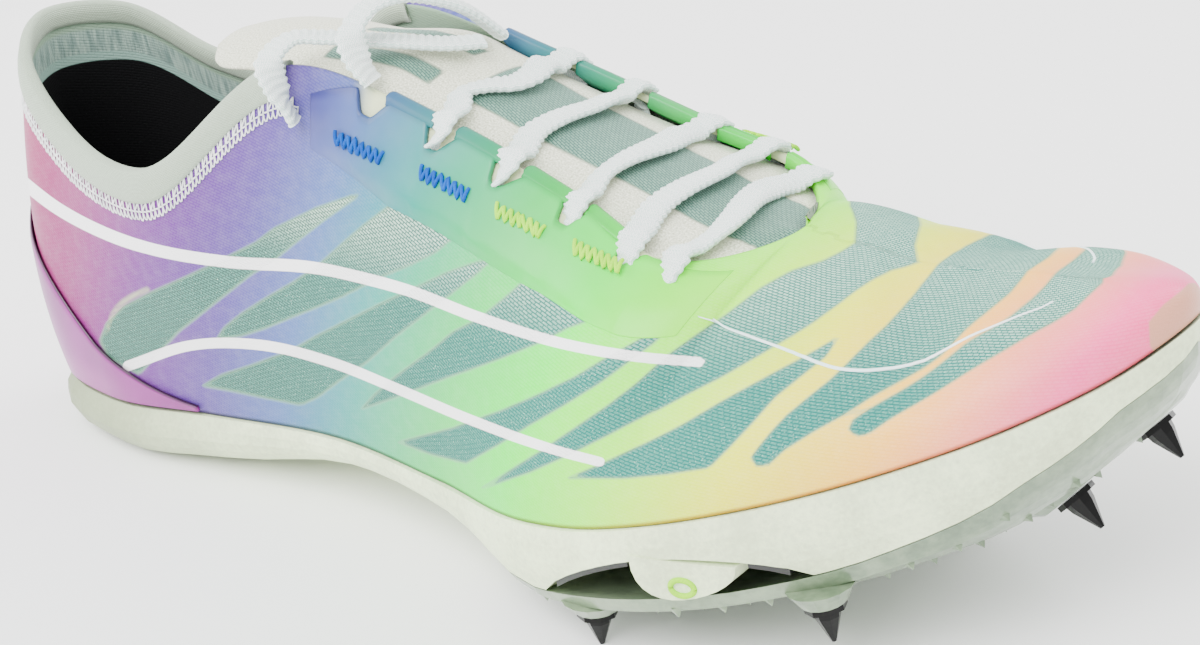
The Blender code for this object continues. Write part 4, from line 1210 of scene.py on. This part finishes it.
# The seam's stitches, in millimetres along the collar and below its rim. A loop's places
# along the collar are shares of the pitch.
STITCH_PITCH = 1.35
STITCH_LIFT = 0.22
STITCH_HALF = 0.19 * MM
STITCH_BAR = (6.5, 8.5)
STITCH_LOOP = ((0.0, 8.5), (0.12, 9.6), (0.34, 10.3), (0.66, 10.4), (0.9, 9.7), (1.0, 8.5))


def make_collar_stitches():
    numbers = np.linspace(-COLLAR_REACH - 0.1, COLLAR_REACH + 0.1, 400)
    stations = numbers % (2 * TIP)
    far = run_lengths(rim_skin(stations, STITCH_BAR[1], 0.0)) / MM
    paths = []
    for stitch in range(int(far[-1] / STITCH_PITCH)):
        start = stitch * STITCH_PITCH
        wobble = 0.12 * math.sin(stitch * 2.4)
        bar = [(start + 0.1, STITCH_BAR[0]), (start + wobble, STITCH_BAR[1])]
        cross = [(start + wobble, STITCH_BAR[1]), (start + 0.9 * STITCH_PITCH, STITCH_BAR[0] + 0.2)]
        loop = [(start + share * STITCH_PITCH, low + wobble) for share, low in STITCH_LOOP]
        rail = [(start, STITCH_BAR[1] - 0.1), (start + STITCH_PITCH, STITCH_BAR[1] + 0.1)]
        for chain in (bar, loop, rail) + ((cross,) if stitch % 2 else ()):
            places = np.array(chain)
            at = np.interp(places[:, 0], far, numbers) % (2 * TIP)
            paths.append(rim_skin(at, places[:, 1], STITCH_LIFT))
    piece = many_tubes("collar_stitches", paths, STITCH_HALF, THREAD_LOOKS["white"], 5)


make_collar_band()
make_collar_stitches()

# The heel's glossy wrap.
WRAP_REACH = 2.95
WRAP_LOW = 0.02
WRAP_TOP = (
    (0, 0.61), (0.5, 0.56), (1, 0.46), (1.5, 0.35), (2, 0.22), (2.6, 0.09), (WRAP_REACH, 0.035),
)


def make_heel_wrap():
    numbers = np.linspace(-WRAP_REACH, WRAP_REACH, 170)
    stations = numbers % (2 * TIP)
    places, shares = zip(*WRAP_TOP)
    high = np.interp(np.abs(numbers), places, shares)
    high = soften(high, np.ones(9))
    blend = np.concatenate([[0, 0.02], np.linspace(0.06, 0.94, 14), [0.98, 1]])
    share = WRAP_LOW + (high - WRAP_LOW)[:, None] * blend
    thick = COUNTER_WALL * (0.45 + 0.55 * smooth_step(1 - blend, -0.01, 0.05))
    inner = skin(stations[:, None], share, FILM_GAP)
    outer = skin(stations[:, None], share, FILM_GAP + thick)
    edge = np.linalg.norm(outer - outer[:, -1:], axis=-1) / MM
    foot = np.linalg.norm(outer - outer[:, :1], axis=-1) / MM
    look = Look("heel_film", Roughness=0.32, Coat_Weight=0.12, Coat_Roughness=0.2)
    cloud = look.noise(look.place(), 70, 2)
    colour = look.over((0.20, 0.002, 0.17), (0.25, 0.006, 0.215), cloud, 0.3, 0.75)
    forward = look.node("SeparateXYZ", Vector=look.place()).outputs[0]
    low = look.step(look.read("foot"), 3, 9, 1.0, 0.0)
    pale = look.math("MULTIPLY", look.step(forward, -20 * MM, 4 * MM, 0.75, 0.0), low)
    colour = look.mix(pale, colour, seen(206, 160, 200))
    colour = look.over(colour, seen(92, 30, 96), look.read("edge"), 0.1, 0.8, 0.9, 0.0)
    look.set(Base_Color=colour, Normal=look.bump(look.noise(look.place(), 1500, 2), 0.03 * MM, 0.4))
    piece = sheet_piece("heel_film", outer, inner, [look.material], {"edge": edge, "foot": foot})
    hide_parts("heel_wrap")


make_heel_wrap()

# The tongue, padded and bound, with knitted mesh let into its middle.
TONGUE_END = {
    "lip":    (0.219, 1.015, 0.070, 0.012),
    "rear":   (0.236, 1.030, 0.135, 0.030),
    "brow":   (0.285, 1.050, 0.165, 0.040),
    "neck":   (0.350, 1.055, 0.155, 0.040),
}
TONGUE_ROWS = (
    (4.55, 3 * MM, 0.6 * MM), (4.8, 5 * MM, 1.0 * MM), (5.2, 8 * MM, 3.0 * MM),
    (5.6, 10 * MM, 4.2 * MM), (6.0, 10 * MM, 4.4 * MM), (6.5, 10 * MM, 4.0 * MM),
    (7.0, 9 * MM, 3.0 * MM), (7.5, 8 * MM, 1.8 * MM), (8.0, 8 * MM, 1.6 * MM),
    (8.4, 9 * MM, 1.8 * MM),
)
TONGUE_POINTS = 33
TONGUE_STEPS = 120
TONGUE_TROUGH = (0.35 * MM, 0.6)  # how deep round the mesh, and how wide in millimetres


def tongue_row(number, tuck, drop):
    arch = throat_arch(number, drop)
    chains = []
    for side in (-1, 1):
        station = np.full(4, side_station(number, side), float)
        share = share_below_top(station, np.linspace(tuck, drop, 4))
        chains.append(skin(station, share, -UPPER_WALL - TONGUE_CLEAR))
    return even_steps(np.vstack([chains[0], arch[1:-1], chains[1][-2::-1]]), TONGUE_POINTS)


def tongue_end_row(name):
    along, rise, half, hang = TONGUE_END[name]
    share = np.linspace(-1, 1, TONGUE_POINTS)
    middle = np.array([along * LENGTH - HEEL_TO_ORIGIN, 0, HEEL_STACK + rise * INSTEP_HEIGHT])
    row = np.tile(middle, (TONGUE_POINTS, 1))
    row[:, 1] += share * half * BALL_WIDTH
    row[:, 2] -= share**2 * hang * BALL_WIDTH
    return row


def grid_normals(points):
    along = np.gradient(points, axis=0)
    across = np.gradient(points, axis=1)
    normal = np.cross(along, across)
    return normal / np.maximum(np.linalg.norm(normal, axis=-1), 1e-9)[..., None]


def make_tongue_look():
    look = Look("tongue_cloth", Roughness=0.85, Sheen_Weight=0.3)
    threads, _ = thread_pattern(look, 0.3, 1.1)
    fuzz = look.noise(look.read("cloth", vector=True), 2.4, 3)
    white = look.over(seen(212, 213, 202), seen(234, 235, 228), fuzz, 0.25, 0.8)
    mesh = look.mix(look.math("MULTIPLY", threads, 0.75), seen(142, 170, 164), seen(196, 212, 204))
    insert = look.step(look.read("insert"), -0.2, 0.2)
    colour = look.mix(insert, white, mesh)
    seam = look.math("ABSOLUTE", look.read("insert"))
    colour = look.over(colour, seen(188, 196, 186), seam, 0.2, 0.5, 0.5, 0.0)
    height = look.math("ADD", look.math("MULTIPLY", threads, insert), look.math("MULTIPLY", fuzz, 0.5))
    look.set(Base_Color=colour, Normal=look.bump(height, 0.14 * MM, 0.7))
    return look.material


def make_tongue():
    rows = [tongue_end_row(name) for name in TONGUE_END]
    rows += [tongue_row(*row) for row in TONGUE_ROWS]
    rows = np.array(rows)
    flat = np.hstack([rows[:, TONGUE_POINTS // 2], rows.reshape(len(rows), -1)])
    fine = smooth_curve(flat)(np.linspace(0, len(rows) - 1, TONGUE_STEPS))[:, 3:]
    fine = fine.reshape(TONGUE_STEPS, TONGUE_POINTS, 3)
    normal = grid_normals(fine)
    across = np.linspace(-1, 1, TONGUE_POINTS)
    along = run_lengths(fine[:, TONGUE_POINTS // 2]) / MM
    width = np.linalg.norm(np.diff(fine, axis=1), axis=2).sum(axis=1) / MM
    out = across[None, :] * width[:, None] / 2
    insert = insert_distance(along[:, None], out)
    edge = np.minimum(1, (width[:, None] / 2 - np.abs(out)) / 1.2)
    edge = edge * smooth_step(along, -0.6, 1.5)[:, None]
    trough = TONGUE_TROUGH[0] * np.exp(-((insert / TONGUE_TROUGH[1]) ** 2))
    outer = fine - normal * trough[..., None]
    inner = fine - normal * (TONGUE_WALL * (0.3 + 0.7 * np.clip(edge, 0, 1)))[..., None]
    along = np.repeat(along[:, None], TONGUE_POINTS, axis=1)
    cloth = np.stack([along, out, np.zeros(out.shape)], axis=-1)
    values = {"insert": insert, "cloth": cloth}
    piece = sheet_piece("tongue_padded", outer, inner, [make_tongue_look()], values)
    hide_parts("tongue")


# The tongue's mesh, in millimetres from its lip and from its middle line.
REAR_PANELS = {"start": 34, "end": 62, "middle": 7.0, "half": 2.4}
FRONT_PANEL = {"start": 70, "middle": 1.5, "half": 10.0}


def insert_distance(along, out):
    """How far each point lies inside the tongue's two slim rear panels or its wide front one."""
    rear = REAR_PANELS["half"] - np.abs(np.abs(out) - REAR_PANELS["middle"])
    rear = np.minimum(rear, np.minimum(along - REAR_PANELS["start"], REAR_PANELS["end"] - along))
    front = FRONT_PANEL["half"] - np.abs(out - FRONT_PANEL["middle"])
    front = np.minimum(front, along - FRONT_PANEL["start"])
    return np.clip(np.maximum(rear, front), -4, 4)


make_tongue()

# The insole, black, cupped a little along its edges.
INSOLE_CUP = 0.9 * MM


def make_insole():
    rings = []
    for number in np.linspace(0, TIP, 80):
        ends = []
        for side in (-1, 1):
            station = side_station(number, side)
            ends.append(FOOT(station)[0, :3] - turn_outward(station)[0] * INSOLE_INSET)
        outer, inner = ends
        share = np.linspace(0, 1, 17)[:, None]
        line = outer + (inner - outer) * share
        top = line + UPWARD * (GAP + INSOLE_WALL - INSOLE_CUP)
        top[:, 2] += INSOLE_CUP * (2 * share[:, 0] - 1) ** 4
        rings.append(np.vstack([line + UPWARD * GAP, top[::-1]]))
    rings = np.array(rings)
    faces = tube_faces(*rings.shape[:2], turned=True)
    look = make_plain_look("insole_cloth", *BLACK_CLOTH, 0.95, 1400, 0.12 * MM)
    piece = make_piece("insole_foam", rings.reshape(-1, 3), faces, [look])
    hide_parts("insole")


make_insole()

# The lace's bars: each comes out from under the film at a notch, climbs over the rim, lies
# across the tongue and goes over the far rim in the same way.
BAR_LEG = ((5.2, -2.3), (4.3, -1.3), (3.0, -0.1), (1.3, 0.8))  # below the rim and out, mm
BAR_SHARES = np.array([0.14, 0.26, 0.4, 0.5, 0.6, 0.74, 0.86])
BARS = {  # the near and far notch, then sideways and upward moves of the middle, in mm
    1: (5.05, 5.10, (-1.5, -4.0, -1.0, 2.5, 3.5, 2.0, 0.0), (0.3, 0.8, 0.4, 0.0, 0.6, 1.8, 0.6)),
    2: (5.50, 5.52, (-0.5, -1.5, -0.5, 0.5, 1.5, 2.0, 0.5), (0.2, 0.6, 0.5, 0.3, 0.2, 0.9, 0.6)),
    3: (5.97, 6.00, (-0.5, -1.0, 0.5, 1.5, 2.0, 1.0, 0.0), (0.2, 0.5, 0.7, 0.4, 0.2, 0.4, 0.4)),
    4: (6.64, 6.58, (-1.0, -1.5, 0.0, 1.0, 1.5, 0.5, 0.0), (0.4, 0.8, 0.9, 0.6, 0.3, 0.3, 0.3)),
    5: (7.10, 7.20, (1.0, 2.5, 2.0, 1.0, 0.0, -0.5, 0.0), (0.3, 0.6, 0.8, 1.0, 0.8, 0.4, 0.3)),
}
TONGUE_NUMBERS = [row[0] for row in TONGUE_ROWS]
TONGUE_DROPS = [row[2] for row in TONGUE_ROWS]


def rim_leg(number, side):
    """The lace's way from under the film up to the rim, at one side."""
    station = np.full(len(BAR_LEG), side_station(number, side), float)
    rim = skin(station[:1], [1.0], 0.2 * MM) + UPWARD * 1.25 * MM
    return np.vstack([rim_skin(station, *np.array(BAR_LEG).T), rim])


def bar_route(near, far, forward, rise):
    numbers = near + (far - near) * BAR_SHARES
    arch = []
    for number, share in zip(numbers, BAR_SHARES):
        drop = np.interp(number, TONGUE_NUMBERS, TONGUE_DROPS)
        arch.append(throat_arch(number, drop, 101)[round(share * 100)])
    arch = np.array(arch)
    arch[:, 0] += np.array(forward) * MM
    arch[:, 2] += LACE_THICK / 2 + LACE_GAP + (np.array(rise) - 0.2) * MM
    return np.vstack([rim_leg(near, -1), arch, rim_leg(far, 1)[::-1]])


for number, bar in BARS.items():
    lean = 0.30 if number % 2 else -0.12
    twist = ((0, 0.0), (0.3, lean), (0.65, -1.2 * lean), (1, 0.0))
    make_lace(f"braided_bar_{number}", bar_route(*bar), f"lace_bar_{number}", twist=twist)

# Finishes of the sole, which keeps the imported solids.
FINISHES = {
    "midsole": make_plain_look(
        "foam", seen(219, 223, 211), seen(228, 232, 221), 0.62, 900, 0.06 * MM, sheen=0.1,
        # The darker heel colour is painted shade over the foam towards the heel.
        heel=seen(186, 192, 176),
    ),
    "carbon_plate": make_plain_look(
        "carbon", seen(14, 15, 17), seen(36, 37, 40), 0.32, 1500, 0.04 * MM, coat=0.3
    ),
    "outsole_plate": make_plain_look(
        "clear_plastic", seen(168, 180, 166), seen(196, 204, 191), 0.3, 300, 0.06 * MM, coat=0.5
    ),
}
STEEL = make_plain_look(
    "steel", seen(58, 55, 52), seen(92, 88, 84), 0.34, 1200, 0.03 * MM, coat=0.2, metallic=0.85
)
PINS = {node: piece for node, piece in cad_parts.items() if node.startswith("spike_")}
for node, finish in (FINISHES | dict.fromkeys(PINS, STEEL)).items():
    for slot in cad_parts[node].material_slots:
        slot.material = finish


# Small teeth moulded under the plate, clear of the pins, in staggered rows.
TOOTH_START = 0.112
TOOTH_ROWS = 15
TOOTH_SPAN = range(-8, 9)
TOOTH_PITCH = (8.2 * MM, 7.6 * MM)
TOOTH_ROOT = 0.5 * MM
TOOTH_STEEPEST = -0.45
BELOW_FLOOR = -0.02
TOOTH_HALF = 1.2 * MM
TOOTH_DEPTH = 1.3 * MM
TOOTH_CLEAR = 8.5 * MM


def make_tread():
    plate = surface_of(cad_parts["outsole_plate"])
    pins = np.array([
        np.mean([pin.matrix_world @ vertex.co for vertex in pin.data.vertices], axis=0)
        for pin in PINS.values()
    ])
    points, faces = [], []
    for row in range(TOOTH_ROWS):
        for step in TOOTH_SPAN:
            along = TOOTH_START + row * TOOTH_PITCH[0]
            across = (step + 0.5 * (row % 2)) * TOOTH_PITCH[1]
            if np.linalg.norm(pins[:, :2] - (along, across), axis=1).min() < TOOTH_CLEAR:
                continue
            below = Vector((along, across, BELOW_FLOOR))
            place, normal, _, _ = plate.ray_cast(below, Vector((0, 0, 1)))
            if place is None or normal.z > TOOTH_STEEPEST:
                continue
            forward = (Vector((1, 0, 0)) - normal * normal.x).normalized()
            side = normal.cross(forward)
            start = len(points)
            foot = place - normal * TOOTH_ROOT
            points += [
                foot + forward * TOOTH_HALF * 1.2, foot + side * TOOTH_HALF,
                foot - forward * TOOTH_HALF * 1.5, foot - side * TOOTH_HALF,
                place + normal * TOOTH_DEPTH + forward * TOOTH_HALF * 0.5,
            ]
            faces += [(start + turn, start + (turn + 1) % 4, start + 4) for turn in range(4)]
            faces.append((start + 3, start + 2, start + 1, start))
    points = np.array(points)
    piece = make_piece("tread_teeth", points, faces, [FINISHES["outsole_plate"]], smooth=False)


# A plain ring, let into the foam of the outer pod: its middle along the shoe and above the
# floor, its half sizes there and its thread.
RING_PLACE = (0.1655, 0.0225)
RING_HALF = (2.3 * MM, 1.7 * MM)
RING_THREAD = 0.6 * MM


def make_pod_ring():
    foam = surface_of(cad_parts["midsole"])
    ring = []
    for turn in np.linspace(0, math.tau, 41):
        along = RING_PLACE[0] + math.cos(turn) * RING_HALF[0]
        height = RING_PLACE[1] + math.sin(turn) * RING_HALF[1]
        place, normal, _, _ = foam.ray_cast(Vector((along, -0.1, height)), Vector((0, 1, 0)))
        ring.append(np.array(place + normal * 0.1 * MM))
    piece = many_tubes("pod_ring", [np.array(ring)], RING_THREAD, THREAD_LOOKS["volt"], 8)


make_tread()
make_pod_ring()


# The floor and the light.
FLOOR_HALF = 3.0
SKY_STRENGTH = 1.7
LIGHTS = {  # where it is, what it points at, its size and its power
    "key": ((0.25, -0.9, 1.1), (0.08, 0, 0.04), 0.9, 33),
    "fill": ((-0.8, -0.5, 0.7), (0.05, 0, 0.04), 0.8, 14),
    "rim": ((0.5, 0.9, 0.8), (0.1, 0, 0.05), 0.7, 14),
}


def make_stage():
    corners = [(x * FLOOR_HALF, y * FLOOR_HALF, 0) for x, y in ((-1, -1), (1, -1), (1, 1), (-1, 1))]
    mesh = bpy.data.meshes.new("floor")
    mesh.from_pydata(corners, [], [(0, 1, 2, 3)])
    floor = bpy.data.objects.new("floor", mesh)
    bpy.context.scene.collection.objects.link(floor)
    look = make_plain_look("floor", seen(243, 243, 243), seen(248, 248, 248), 0.8, 40, 0.01 * MM)
    mesh.materials.append(look)
    world = bpy.data.worlds.new("studio")
    world.use_nodes = True
    sky = world.node_tree.nodes["Background"].inputs
    sky["Color"].default_value = (1, 1, 1, 1)
    sky["Strength"].default_value = SKY_STRENGTH
    bpy.context.scene.world = world
    for name, (place, target, size, power) in LIGHTS.items():
        data = bpy.data.lights.new(name, "AREA")
        data.size = size
        data.energy = power
        light = bpy.data.objects.new(name, data)
        bpy.context.scene.collection.objects.link(light)
        light.location = place
        way = Vector(target) - Vector(place)
        light.rotation_mode = "QUATERNION"
        light.rotation_quaternion = way.to_track_quat("-Z", "Y")


make_stage()
